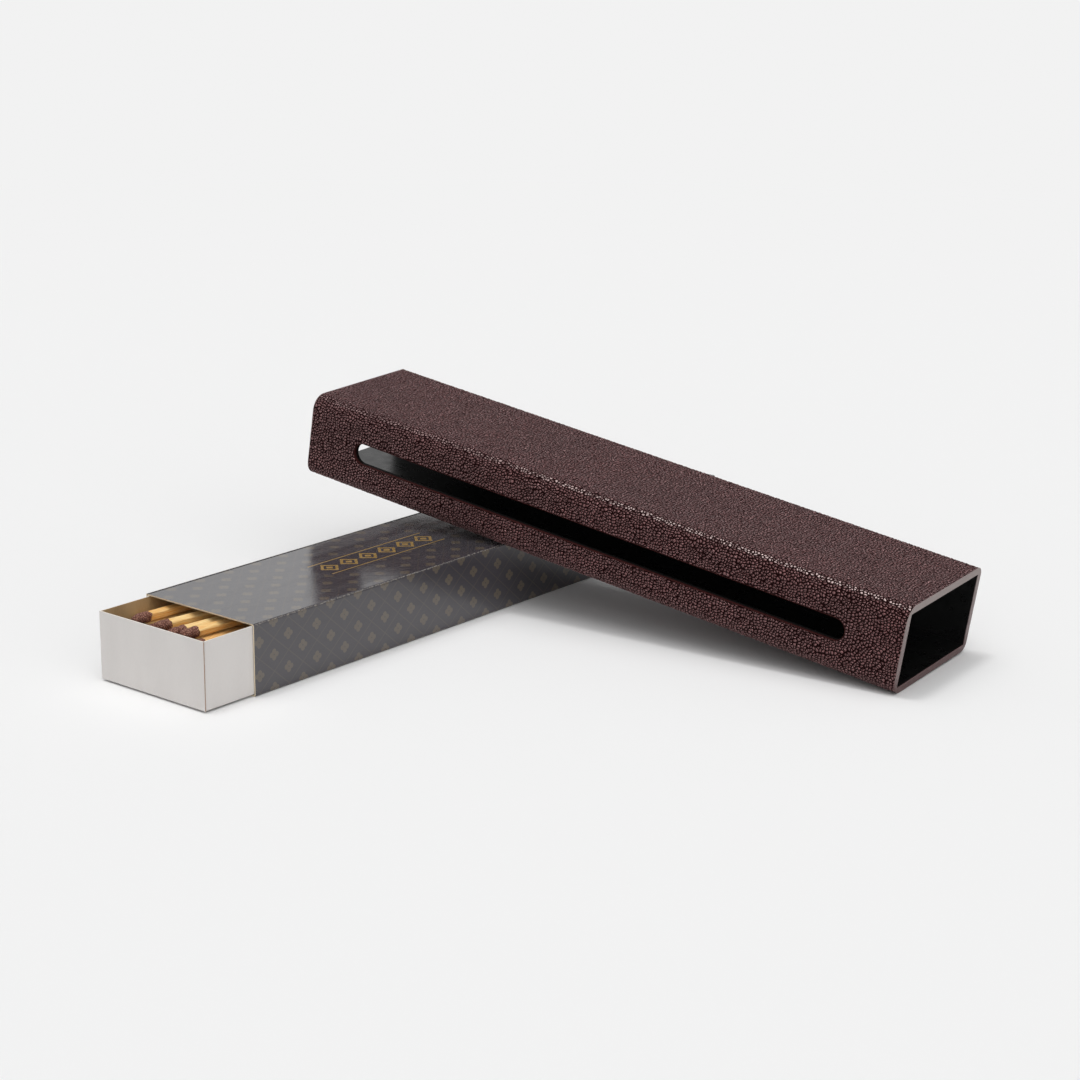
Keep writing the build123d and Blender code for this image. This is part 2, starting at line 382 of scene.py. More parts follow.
@dataclass(frozen=True)
class PebbleShape:
    """Shape of the leather's grain, with lengths in millimetres."""

    size: float = 1.15
    stretch: float = 0.88
    drift_waves: float = 0.16
    drift_reach: float = 2.4
    unevenness: float = 0.82
    groove_share: float = 0.3
    steepness: float = 1.25
    least_height: float = 0.65

    def field(self, bench: NodeBench, unwrap: Socket) -> tuple[Socket, Socket]:
        """The pebbles over the unwrapped leather, alike for its relief and its colour.

        Args:
            bench: The node tree that they are built in.
            unwrap: The point on the flat leather, in millimetres.

        Returns:
            The height of the pebbles, from 0 to 1, and a value of each pebble's own.
        """
        waves = {"Vector": unwrap, "Scale": self.drift_waves, "Detail": 1.0}
        drift = bench.add("ShaderNodeTexNoise", waves).outputs["Color"]
        centred = bench.vector("SUBTRACT", drift, (0.5, 0.5, 0.5))
        pulled = bench.vector("MULTIPLY", centred, (self.drift_reach, self.drift_reach, 0.0))
        place = bench.vector("ADD", unwrap, pulled)
        place = bench.vector("MULTIPLY", place, (1 / self.size, self.stretch / self.size, 0.0))
        cell = {"Vector": place, "Scale": 1.0, "Randomness": self.unevenness}
        near = bench.add("ShaderNodeTexVoronoi", cell, voronoi_dimensions="2D", feature="F1")
        edge = bench.add("ShaderNodeTexVoronoi", cell, voronoi_dimensions="2D", feature="DISTANCE_TO_EDGE")
        rim = bench.ease(edge.outputs["Distance"], 0.0, self.groove_share)
        reach = bench.sum("MULTIPLY", near.outputs["Distance"], self.steepness)
        dome = bench.sum("SUBTRACT", 1.0, bench.sum("MULTIPLY", reach, reach), clamp=True)
        own = bench.parts(near.outputs["Color"])[0]
        uneven = bench.sum("MULTIPLY_ADD", own, 1 - self.least_height, self.least_height)
        return bench.product(dome, rim, uneven), own


@dataclass(frozen=True)
class LeatherFinish:
    """Burgundy leather with a shiny pebbled grain, painted shade in its grooves and painted highlights on the
    pebble tops along the front edge.
    """

    pebble: PebbleShape = PebbleShape()
    # Grooves darker and pebble tops lighter: partly the leather's own tone, partly painted shade in the
    # grooves and painted light on the tops.
    groove_tone_and_shade: Colour = tone(27, 10, 11)
    top: Colour = tone(60, 25, 26)
    bright_top: Colour = tone(74, 32, 33)
    # Colour of the painted highlights on the pebble tops along the front edge.
    painted_glint: Colour = tone(208, 192, 188)
    shine: Colour = tone(255, 206, 206)
    relief: float = 0.3 * MM
    level_share: float = 0.75
    bump_share: float = 2.0
    fine_grain: float = 5.5
    fine_share: float = 0.1
    wide_waves: float = 0.03
    wide_span: Span = (0.35, 0.65)
    own_start: float = 0.72
    own_spread: float = 0.5
    top_span: Span = (0.2, 0.72)
    roughness_span: Span = (0.2, 0.7, 0.5, 0.25)
    roughness_drift: float = 0.15
    index: float = 1.8
    gloss_span: Span = (0.36, 0.78, 0.0, 0.95)
    sheen: float = 0.36
    sheen_roughness: float = 0.3
    # Where the painted highlights lie: along the front top edge, on the pebble tops, fading toward the high
    # end.
    glint_line: float = 65.7
    glint_reach: Span = (1.25, 0.75)
    glint_height: Span = (0.5, 0.64, 0.0, 0.92)
    glint_own: Span = (0.2, 0.35, 0.15, 1.0)
    glint_run: Span = (110.0, 240.0, 1.0, 0.25)

    def painted_glint_mask(self, bench: MaterialBench, unwrap: Socket, height: Socket, own: Socket) -> Socket:
        """Where painted highlights sit on the tops of the pebbles along the front edge.

        Args:
            bench: The material.
            unwrap: The point on the flat leather, in millimetres.
            height: The height of the pebbles.
            own: The value of each pebble's own.

        Returns:
            How strong the painted highlight is.
        """
        girth, run, _ = bench.parts(unwrap)
        from_line = bench.sum("ABSOLUTE", bench.sum("SUBTRACT", girth, self.glint_line))
        return bench.product(
            bench.ease(from_line, *self.glint_reach),
            bench.ease(height, *self.glint_height),
            bench.ease(own, *self.glint_own),
            bench.ease(run, *self.glint_run),
        )

    def material(self, effects: Effects) -> bpy.types.Material:
        """Builds the material.

        Args:
            effects: The shared effects.

        Returns:
            The material.
        """
        bench = MaterialBench(Slot.LEATHER.value)
        unwrap = bench.add("ShaderNodeAttribute", attribute_name="unwrap").outputs["Vector"]
        height, own = self.pebble.field(bench, unwrap)
        wide = bench.noise(unwrap, self.wide_waves)
        tops = bench.blend(bench.ease(wide, *self.wide_span), self.top, self.bright_top)
        varied = bench.sum("MULTIPLY_ADD", own, self.own_spread, self.own_start)
        tops = bench.blend(1.0, tops, bench.join(varied, varied, varied), "MULTIPLY")
        # Darker in the grooves, lighter on the pebble tops: partly the leather's own tone, partly painted
        # shade and painted light.
        colour = bench.blend(bench.ease(height, *self.top_span), self.groove_tone_and_shade, tops)
        # Painted highlights: pale specks on the pebble tops along the front top edge, strongest toward the
        # low end.
        colour = bench.blend(self.painted_glint_mask(bench, unwrap, height, own), colour, self.painted_glint)
        fine = bench.effect(effects.grit, Place=unwrap, Fineness=self.fine_grain).outputs["Height"]
        relief = bench.sum("MULTIPLY_ADD", fine, self.fine_share, height)
        rough = bench.ease(height, *self.roughness_span)
        rough = bench.sum("MULTIPLY_ADD", bench.sum("SUBTRACT", wide, 0.5), self.roughness_drift, rough)
        return bench.finish(
            Base_Color=colour,
            Roughness=rough,
            IOR=self.index,
            Specular_IOR_Level=bench.ease(height, *self.gloss_span),
            Specular_Tint=self.shine,
            Sheen_Weight=self.sheen,
            Sheen_Roughness=self.sheen_roughness,
            Sheen_Tint=self.shine,
            Normal=bench.bump(relief, self.relief * self.bump_share),
        )


@dataclass(frozen=True)
class EdgePaintFinish:
    """Satin paint on the cut edges at the holder's ends, with painted shade toward the bottom and painted
    light toward the top.
    """

    # high is the paint with painted light at the top, middle is its own tone, low is the paint with painted
    # shade at the bottom.
    high: Colour = tone(136, 123, 120)
    middle: Colour = tone(122, 106, 105)
    low: Colour = tone(84, 57, 56)
    fibre_fineness: float = 1.1
    grit_fineness: float = 3.0
    raggedness: float = 0.12
    painted_shade_span: Span = (0.05, 0.32)
    painted_light_span: Span = (0.5, 0.95)
    roughness_span: Span = (0.2, 0.8, 0.42, 0.58)
    bump_depth: float = 0.03 * MM

    def material(self, effects: Effects) -> bpy.types.Material:
        """Builds the material.

        Args:
            effects: The shared effects.

        Returns:
            The material.
        """
        bench = MaterialBench(Slot.EDGE_PAINT.value)
        place = bench.place_mm()
        paper = bench.effect(effects.fibres, Place=place, Fineness=self.fibre_fineness)
        grit = bench.effect(effects.grit, Place=place, Fineness=self.grit_fineness)
        rise = bench.add("ShaderNodeAttribute", attribute_name="rise_share").outputs["Fac"]
        uneven = bench.sum("SUBTRACT", paper.outputs["Streaks"], 0.5)
        rise = bench.sum("MULTIPLY_ADD", uneven, self.raggedness, rise)
        # Painted shade darkens the paint toward the bottom and painted light lightens it toward the top.
        colour = bench.blend(bench.ease(rise, *self.painted_shade_span), self.low, self.middle)
        colour = bench.blend(bench.ease(rise, *self.painted_light_span), colour, self.high)
        rough = bench.ease(paper.outputs["Streaks"], *self.roughness_span)
        normal = bench.bump(grit.outputs["Height"], self.bump_depth)
        return bench.finish(Base_Color=colour, Roughness=rough, Normal=normal)


@dataclass(frozen=True)
class SlotPaintFinish:
    """Cut wall of the slot: deep red at the leather, black further in."""

    outer: Colour = tone(52, 13, 12)
    inner: Colour = tone(10, 5, 5)
    grit_fineness: float = 3.0
    raggedness: float = 0.15
    depth_span: Span = (0.25, 0.7)
    roughness: float = 0.8
    specular: float = 0.2
    bump_depth: float = 0.05 * MM

    def material(self, effects: Effects) -> bpy.types.Material:
        """Builds the material.

        Args:
            effects: The shared effects.

        Returns:
            The material.
        """
        bench = MaterialBench(Slot.SLOT_PAINT.value)
        depth = bench.add("ShaderNodeAttribute", attribute_name="wall_depth").outputs["Fac"]
        grit = bench.effect(effects.grit, Place=bench.place_mm(), Fineness=self.grit_fineness)
        ragged = bench.sum("MULTIPLY_ADD", grit.outputs["Height"], self.raggedness, depth)
        colour = bench.blend(bench.ease(ragged, *self.depth_span), self.outer, self.inner)
        normal = bench.bump(grit.outputs["Height"], self.bump_depth)
        return bench.finish(
            Base_Color=colour,
            Roughness=self.roughness,
            Specular_IOR_Level=self.specular,
            Normal=normal,
        )


@dataclass(frozen=True)
class LiningFinish:
    """Smooth black lining that mirrors light at a low angle."""

    colour: Colour = (0.0035, 0.0035, 0.0035, 1.0)
    grit_fineness: float = 1.8
    cloud_waves: float = 0.2
    roughness_span: Span = (0.3, 0.7, 0.26, 0.34)
    bump_depth: float = 0.006 * MM

    def material(self, effects: Effects) -> bpy.types.Material:
        """Builds the material.

        Args:
            effects: The shared effects.

        Returns:
            The material.
        """
        bench = MaterialBench(Slot.LINING.value)
        place = bench.place_mm()
        grit = bench.effect(effects.grit, Place=place, Fineness=self.grit_fineness)
        cloud = bench.noise(place, self.cloud_waves)
        return bench.finish(
            Base_Color=self.colour,
            Roughness=bench.ease(cloud, *self.roughness_span),
            Normal=bench.bump(grit.outputs["Height"], self.bump_depth),
        )


@dataclass(frozen=True)
class BoardFinish:
    """Dense grey board under the leather."""

    light: Colour = tone(176, 172, 166)
    dark: Colour = tone(150, 145, 138)
    fibre_fineness: float = 2.5
    streak_span: Span = (0.3, 0.7)
    roughness: float = 0.9
    bump_depth: float = 0.08 * MM

    def material(self, effects: Effects) -> bpy.types.Material:
        """Builds the material.

        Args:
            effects: The shared effects.

        Returns:
            The material.
        """
        bench = MaterialBench(Slot.BOARD.value)
        paper = bench.effect(effects.fibres, Place=bench.place_mm(), Fineness=self.fibre_fineness)
        share = bench.ease(paper.outputs["Streaks"], *self.streak_span)
        colour = bench.blend(share, self.dark, self.light)
        normal = bench.bump(paper.outputs["Streaks"], self.bump_depth)
        return bench.finish(Base_Color=colour, Roughness=self.roughness, Normal=normal)


@dataclass(frozen=True)
class PrintedCardFinish:
    """Glossy printed card of the cover, with a trellis print and worn folds."""

    width: float = 58.2
    height: float = 28.0
    ink: Colour = tone(66, 63, 68)
    ink_dark: Colour = tone(58, 55, 59)
    gold_ink: Colour = tone(134, 118, 90)
    foil: Colour = tone(178, 142, 72)
    worn: Colour = tone(136, 130, 122)
    raw_edge: Colour = tone(222, 206, 178)
    inside: Colour = tone(124, 100, 72)
    inside_dark: Colour = tone(108, 86, 60)
    fibre_stretch: tuple[float, float, float] = (0.35, 3.0, 3.0)
    facing_span: Span = (0.6, 0.8)
    roughness_span: Span = (0.3, 0.7, 0.13, 0.2)
    bare_roughness: float = 0.8
    foil_roughness: float = 0.12
    foil_metallic: float = 0.45
    index: float = 1.7
    bump_depth: float = 0.012 * MM
    skin: float = 0.3
    print_share: float = 0.3
    trellis_width: float = 15.0
    trellis_height: float = 13.0
    trellis_line: float = 0.05
    trellis_line_ink: float = 0.4
    petal_offset: float = 1.25
    petal_radius: float = 1.15
    petal_blur: float = 0.2
    chain_start: float = -80.0
    chain_end: float = -14.0
    chain_middle: float = 0.9
    chain_reach: float = 6.8
    chain_pitch: float = 11.0
    chain_side_margin: float = 1.0
    chain_end_margin: float = 2.0
    margin_blur: float = 0.5
    lozenge_length_share: float = 0.42
    lozenge_width_share: float = 0.72
    lozenge_line: float = 0.86
    lozenge_line_span: Span = (0.2, 0.15)
    lozenge_core_span: Span = (0.4, 0.33)
    rule_span: Span = (0.4, 0.25)
    foil_blur: float = 0.1
    worn_reach: float = 0.22
    worn_share: float = 0.7
    worn_waves: float = 0.9
    worn_detail: float = 3.0
    worn_roughness: float = 0.65
    worn_spread: float = 1.8
    worn_offset: float = -0.72

    @property
    def chain_centre(self) -> float:
        """The chain's middle along the box."""
        return (self.chain_start + self.chain_end) / 2

    @property
    def chain_half(self) -> float:
        """Half the chain's length."""
        return (self.chain_end - self.chain_start) / 2

    def trellis(self, bench: MaterialBench, across: Any, up: Any) -> Socket:
        """A diamond trellis with a four-petalled flower in each diamond.

        Args:
            bench: The material.
            across: The place along the box, in millimetres.
            up: The place across the panel, in millimetres.

        Returns:
            Where the ink is.
        """
        half_w, half_h = self.trellis_width / 2, self.trellis_height / 2
        fold_x = bench.sum("PINGPONG", across, half_w)
        fold_y = bench.sum("PINGPONG", up, half_h)
        slope = bench.sum("ADD", bench.sum("DIVIDE", fold_x, half_w), bench.sum("DIVIDE", fold_y, half_h))
        from_line = bench.sum("ABSOLUTE", bench.sum("SUBTRACT", slope, 1.0))
        ink = bench.ease(from_line, self.trellis_line, self.trellis_line / 2, 0.0, self.trellis_line_ink)
        for turned in (False, True):
            x = bench.sum("SUBTRACT", half_w, fold_x) if turned else fold_x
            y = bench.sum("SUBTRACT", half_h, fold_y) if turned else fold_y
            petals = bench.sum(
                "MINIMUM",
                bench.vector("LENGTH", bench.join(bench.sum("SUBTRACT", x, self.petal_offset), y)),
                bench.vector("LENGTH", bench.join(x, bench.sum("SUBTRACT", y, self.petal_offset))),
            )
            petals = bench.ease(petals, self.petal_radius, self.petal_radius - self.petal_blur)
            ink = bench.sum("MAXIMUM", ink, petals)
        return ink

    def chain(self, bench: MaterialBench, from_centre: Socket, off_line: Socket) -> Socket:
        """A foil chain of lozenges between two thin rules.

        Args:
            bench: The material.
            from_centre: The place along the box from the chain's middle, in millimetres.
            off_line: The distance from the chain's middle line.

        Returns:
            Where the foil is.
        """
        half_pitch = self.chain_pitch / 2
        fold = bench.sum("PINGPONG", bench.sum("SUBTRACT", from_centre, half_pitch), half_pitch)
        lozenge = bench.sum(
            "ADD",
            bench.sum("DIVIDE", fold, self.chain_pitch * self.lozenge_length_share),
            bench.sum("DIVIDE", off_line, self.chain_reach * self.lozenge_width_share),
        )
        off_edge = bench.sum("ABSOLUTE", bench.sum("SUBTRACT", lozenge, self.lozenge_line))
        off_rule = bench.sum("ABSOLUTE", bench.sum("SUBTRACT", off_line, self.chain_reach))
        outline = bench.ease(off_edge, *self.lozenge_line_span)
        core = bench.ease(lozenge, *self.lozenge_core_span)
        rule = bench.ease(off_rule, *self.rule_span)
        foil = bench.sum("MAXIMUM", bench.sum("MAXIMUM", outline, core), rule)
        beyond, inside = self.chain_half + self.foil_blur, self.chain_half - self.foil_blur
        within = bench.ease(bench.sum("ABSOLUTE", from_centre), beyond, inside)
        return bench.sum("MULTIPLY", foil, within)

    def artwork(
        self, bench: MaterialBench, place: Socket, upright: Socket, on_top: Socket
    ) -> tuple[Socket, Socket]:
        """The trellis on all four panels, and the foil chain on the top.

        Args:
            bench: The material.
            place: The point on the card, in millimetres.
            upright: How far the surface faces up.
            on_top: Whether it is on the top or the bottom panel.

        Returns:
            Where the trellis's ink is, and where the foil is.
        """
        x, y, z = bench.parts(place)
        from_centre = bench.sum("SUBTRACT", x, self.chain_centre)
        off_line = bench.sum("ABSOLUTE", bench.sum("SUBTRACT", y, self.chain_middle))
        foil = bench.product(self.chain(bench, from_centre, off_line), bench.ease(upright, *self.facing_span))
        side = self.trellis(bench, x, bench.sum("SUBTRACT", z, self.height / 2))
        trellis = bench.between(on_top, side, self.trellis(bench, x, y))
        beside = self.chain_reach + self.chain_side_margin
        past = self.chain_half + self.chain_end_margin
        clear = bench.sum(
            "MAXIMUM",
            bench.ease(off_line, beside, beside + self.margin_blur),
            bench.ease(bench.sum("ABSOLUTE", from_centre), past, past + self.margin_blur),
        )
        clear = bench.sum("MAXIMUM", clear, bench.sum("SUBTRACT", 1.0, on_top))
        return bench.product(trellis, clear, self.print_share), foil

    def material(self, effects: Effects) -> bpy.types.Material:
        """Builds the material.

        Args:
            effects: The shared effects.

        Returns:
            The material.
        """
        bench = MaterialBench(Slot.PRINTED_CARD.value)
        place = bench.place_mm()
        facing = bench.parts(bench.add("ShaderNodeTexCoord").outputs["Normal"])
        on_top = bench.ease(bench.sum("ABSOLUTE", facing[2]), *self.facing_span)
        at_end = bench.ease(bench.sum("ABSOLUTE", facing[0]), *self.facing_span)
        streak_place = bench.vector("MULTIPLY", place, self.fibre_stretch)
        paper = bench.effect(effects.fibres, Place=streak_place, Fineness=1.0).outputs
        printed, foil = self.artwork(bench, place, facing[2], on_top)
        colour = bench.blend(paper["Streaks"], self.ink_dark, self.ink)
        colour = bench.blend(printed, colour, self.gold_ink)
        colour = bench.blend(foil, colour, self.foil)
        worn, within = self.wear(bench, place)
        colour = bench.blend(worn, colour, self.worn)
        kraft = bench.blend(paper["Streaks"], self.inside, self.inside_dark)
        colour = bench.blend(within, colour, kraft)
        colour = bench.blend(at_end, colour, self.raw_edge)
        bare = bench.sum("MAXIMUM", bench.sum("MAXIMUM", within, at_end), worn)
        printed_rough = bench.ease(paper["Cloud"], *self.roughness_span)
        rough = bench.between(bare, printed_rough, self.bare_roughness)
        return bench.finish(
            Base_Color=colour,
            Roughness=bench.sum("MULTIPLY_ADD", foil, self.foil_roughness, rough),
            Metallic=bench.sum("MULTIPLY", foil, self.foil_metallic),
            IOR=self.index,
            Normal=bench.bump(paper["Streaks"], self.bump_depth),
        )

    def wear(self, bench: MaterialBench, place: Socket) -> tuple[Socket, Socket]:
        """Rubbed card along the long folds, and the card's unprinted inner side.

        Args:
            bench: The material.
            place: The point on the card, in millimetres.

        Returns:
            How far the print is rubbed off, and 1 on the inner side.
        """
        _, y, z = bench.parts(place)
        from_side = bench.sum("SUBTRACT", self.width / 2, bench.sum("ABSOLUTE", y))
        up = bench.sum("ABSOLUTE", bench.sum("SUBTRACT", z, self.height / 2))
        from_top = bench.sum("SUBTRACT", self.height / 2, up)
        ragged = bench.noise(place, self.worn_waves, self.worn_detail, self.worn_roughness)
        limit = bench.sum("MULTIPLY_ADD", ragged, self.worn_spread, self.worn_offset)
        from_fold = bench.sum("SUBTRACT", bench.sum("MAXIMUM", from_side, from_top), limit)
        worn = bench.ease(from_fold, self.worn_reach, 0.0, 0.0, self.worn_share)
        return worn, bench.sum("GREATER_THAN", bench.sum("MINIMUM", from_side, from_top), self.skin)


@dataclass(frozen=True)
class StrikerFinish:
    """Gritty brown striking coat."""

    colour: Colour = tone(92, 58, 50)
    dark: Colour = tone(62, 38, 34)
    grit_fineness: float = 3.5
    roughness: float = 0.85
    bump_depth: float = 0.12 * MM

    def material(self, effects: Effects) -> bpy.types.Material:
        """Builds the material.

        Args:
            effects: The shared effects.

        Returns:
            The material.
        """
        bench = MaterialBench(Slot.STRIKER.value)
        grit = bench.effect(effects.grit, Place=bench.place_mm(), Fineness=self.grit_fineness)
        colour = bench.blend(grit.outputs["Height"], self.dark, self.colour)
        normal = bench.bump(grit.outputs["Height"], self.bump_depth)
        return bench.finish(Base_Color=colour, Roughness=self.roughness, Normal=normal)


@dataclass(frozen=True)
class TrayCardFinish:
    """Drawer's card: white outside, kraft brown inside, raw at its cut edges."""

    middle_x: float = -24.7
    middle_y: float = -0.3
    half_length: float = 144.7
    white: Colour = tone(215, 211, 208)
    white_dark: Colour = tone(209, 205, 202)
    kraft: Colour = tone(186, 158, 118)
    kraft_dark: Colour = tone(160, 130, 90)
    rim: Colour = tone(236, 230, 220)
    cut: Colour = tone(140, 98, 62)
    fibre_stretch: tuple[float, float, float] = (1.4, 1.4, 0.5)
    fibre_fineness: float = 1.6
    roughness: float = 0.6
    bump_depth: float = 0.01 * MM
    facing_span: Span = (0.5, 0.8)
    cloud_share: float = 0.7
    mottle_span: Span = (0.3, 0.7)
    length_weight: float = 0.01
    width_weight: float = 0.05
    inward_span: Span = (-0.2, -0.4)
    floor_span: Span = (3.0, 2.0)
    wall_span: Span = (20.0, 24.0)
    cut_reach: float = 0.35
    cut_waves: float = 0.35
    cut_raggedness: float = 0.3
    cut_blur: float = 0.15
    cut_strength: float = 0.8

    def inner_side(
        self, bench: MaterialBench, place: Socket, facing: Sequence[Socket], level: Socket
    ) -> Socket:
        """Where the tray's brown inner side is.

        Args:
            bench: The material.
            place: The point on the tray from its middle, in millimetres.
            facing: The X, Y and Z of the surface's direction.
            level: Whether the surface faces up.

        Returns:
            1 on the inner side and 0 on the outer side.
        """
        from_x, from_y, z = bench.parts(place)
        turned = bench.product(facing[0], from_x, self.length_weight)
        sideways = bench.sum("MULTIPLY", facing[1], from_y)
        turned = bench.sum("MULTIPLY_ADD", sideways, self.width_weight, turned)
        on_floor = bench.sum("MULTIPLY", level, bench.ease(z, *self.floor_span))
        return bench.sum("MAXIMUM", bench.ease(turned, *self.inward_span), on_floor)

    def material(self, effects: Effects) -> bpy.types.Material:
        """Builds the material.

        Args:
            effects: The shared effects.

        Returns:
            The material.
        """
        bench = MaterialBench(Slot.TRAY_CARD.value)
        place = bench.place_mm()
        from_middle = bench.vector("SUBTRACT", place, (self.middle_x, self.middle_y, 0.0))
        from_x, _, z = bench.parts(from_middle)
        facing = bench.parts(bench.add("ShaderNodeTexCoord").outputs["Normal"])
        level = bench.ease(facing[2], *self.facing_span)
        stretched = bench.vector("MULTIPLY", place, self.fibre_stretch)
        paper = bench.effect(effects.fibres, Place=stretched, Fineness=self.fibre_fineness).outputs
        streaks = bench.sum("MULTIPLY", paper["Streaks"], 1 - self.cloud_share)
        mottle = bench.sum("MULTIPLY_ADD", paper["Cloud"], self.cloud_share, streaks)
        share = bench.ease(mottle, *self.mottle_span)
        white = bench.blend(share, self.white_dark, self.white)
        kraft = bench.blend(share, self.kraft_dark, self.kraft)
        colour = bench.blend(self.inner_side(bench, from_middle, facing, level), white, kraft)
        rim = bench.sum("MULTIPLY", level, bench.ease(z, *self.wall_span))
        colour = bench.blend(rim, colour, self.rim)
        uneven = bench.noise(place, self.cut_waves)
        to_end = bench.sum("ABSOLUTE", from_x)
        ragged = bench.sum("MULTIPLY_ADD", uneven, self.cut_raggedness, to_end)
        cut_start = self.half_length - self.cut_reach
        end_cut = bench.product(
            bench.ease(bench.sum("ABSOLUTE", facing[1]), *self.facing_span),
            bench.ease(ragged, cut_start, cut_start + self.cut_blur, 0.0, self.cut_strength),
        )
        colour = bench.blend(end_cut, colour, self.cut)
        normal = bench.bump(paper["Streaks"], self.bump_depth)
        return bench.finish(Base_Color=colour, Roughness=self.roughness, Normal=normal)


@dataclass(frozen=True)
class SplintFinish:
    """Dry pale wood with a fine long grain."""

    light: Colour = tone(250, 226, 166)
    dark: Colour = tone(230, 164, 78)
    grain_stretch: tuple[float, float, float] = (0.16, 2.6, 2.6)
    streak_span: Span = (0.3, 0.72)
    own_share: float = 0.35
    roughness: float = 0.72
    bump_depth: float = 0.09 * MM

    def material(self, effects: Effects) -> bpy.types.Material:
        """Builds the material.

        Args:
            effects: The shared effects.

        Returns:
            The material.
        """
        bench = MaterialBench(Slot.SPLINT.value)
        place = bench.add("ShaderNodeAttribute", attribute_name="grain_place").outputs["Vector"]
        own = bench.add("ShaderNodeAttribute", attribute_name="own_tone").outputs["Fac"]
        long = bench.vector("MULTIPLY", place, self.grain_stretch)
        wood = bench.effect(effects.fibres, Place=long, Fineness=1.0)
        streaks = bench.ease(wood.outputs["Streaks"], *self.streak_span, 0.0, 1 - self.own_share)
        share = bench.sum("MULTIPLY_ADD", own, self.own_share, streaks)
        colour = bench.blend(share, self.light, self.dark)
        normal = bench.bump(wood.outputs["Streaks"], self.bump_depth)
        return bench.finish(Base_Color=colour, Roughness=self.roughness, Normal=normal)


@dataclass(frozen=True)
class HeadFinish:
    """Grainy brown match-head mix."""

    light: Colour = tone(206, 150, 128)
    dark: Colour = tone(112, 68, 56)
    grit_fineness: float = 2.4
    speck_span: Span = (0.05, 0.5)
    roughness: float = 0.8
    bump_depth: float = 0.4 * MM

    def material(self, effects: Effects) -> bpy.types.Material:
        """Builds the material.

        Args:
            effects: The shared effects.

        Returns:
            The material.
        """
        bench = MaterialBench(Slot.HEAD.value)
        place = bench.place_mm()
        grit = bench.effect(effects.grit, Place=place, Fineness=self.grit_fineness)
        speck = bench.sum("MULTIPLY", bench.parts(grit.outputs["Grain"])[0], grit.outputs["Height"])
        colour = bench.blend(bench.ease(speck, *self.speck_span), self.dark, self.light)
        normal = bench.bump(grit.outputs["Height"], self.bump_depth)
        return bench.finish(Base_Color=colour, Roughness=self.roughness, Normal=normal)


def mesh_piece(
    name: str,
    points: np.ndarray,
    faces: Sequence[Sequence[int]],
    material: bpy.types.Material,
    smooth: bool = True,
) -> bpy.types.Object:
    """A mesh object from points and faces in the row's frame.

    Args:
        name: The piece's name.
        points: One row of X, Y and Z for each point.
        faces: The point numbers of each face.
        material: The piece's material.
        smooth: Whether its faces are shaded smooth.

    Returns:
        The new object.
    """
    mesh = bpy.data.meshes.new(name)
    mesh.from_pydata(np.asarray(points).tolist(), [], [list(map(int, face)) for face in faces])
    mesh.materials.append(material)
    mesh.polygons.foreach_set("use_smooth", [smooth] * len(mesh.polygons))
    mesh.update()
    piece = bpy.data.objects.new(name, mesh)
    bpy.context.scene.collection.objects.link(piece)
    return piece


def point_values(piece: bpy.types.Object, name: str, values: np.ndarray) -> None:
    """Stores a number or a vector at each point of a piece.

    Args:
        piece: The piece.
        name: The name that its material reads.
        values: One number or one row of three for each point.
    """
    kind = "FLOAT_VECTOR" if values.ndim == 2 else "FLOAT"
    field = "vector" if values.ndim == 2 else "value"
    attribute = piece.data.attributes.new(name, kind, "POINT")
    attribute.data.foreach_set(field, np.ascontiguousarray(values, np.float32).ravel())


def outward(piece: bpy.types.Object) -> None:
    """Turns all faces of a closed piece outward.

    Args:
        piece: The piece.
    """
    work = bmesh.new()
    work.from_mesh(piece.data)
    bmesh.ops.recalc_face_normals(work, faces=work.faces)
    work.to_mesh(piece.data)
    work.free()


def seat(piece: bpy.types.Object, body: Body, slot: Slot, *nodes: str) -> None:
    """Ties a finished piece to its body and hides the nodes that it stands for.

    Args:
        piece: The piece.
        body: The body that carries it.
        slot: Not used.
        *nodes: The nodes that it replaces.
    """
    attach(piece, body.value)
    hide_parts(*nodes)
    log.info("%s: %d points, replaces %s", piece.name, len(piece.data.vertices), ", ".join(nodes))


def dress(node: str, material: bpy.types.Material) -> None:
    """Gives a node of the frame its finish.

    Args:
        node: The node's name.
        material: Its material.
    """
    mesh = frame["nodes"][node].data
    mesh.materials.clear()
    mesh.materials.append(material)
    log.info("%s: dressed as %s", node, material.name)


def tube_faces(rings: int, around: int, first: int = 0, closed: bool = False) -> Faces:
    """Faces between closed rings of points that follow each other.

    Args:
        rings: How many rings there are.
        around: The points in each ring.
        first: The number of the first point.
        closed: Whether the last ring also meets the first.

    Returns:
        The four-sided faces.
    """
    faces = []
    for ring in range(rings if closed else rings - 1):
        low = first + ring * around
        high = first + (ring + 1) % rings * around
        for step in range(around):
            after = (step + 1) % around
            faces.append((low + step, low + after, high + after, high + step))
    return faces


def merged(parts: Sequence[tuple[np.ndarray, Faces]]) -> tuple[np.ndarray, Faces]:
    """Several meshes as one.

    Args:
        parts: The points and the faces of each.

    Returns:
        All points and all faces.
    """
    points, faces, count = [], [], 0
    for part_points, part_faces in parts:
        points.append(part_points)
        faces += [tuple(number + count for number in face) for face in part_faces]
        count += len(part_points)
    return np.vstack(points), faces


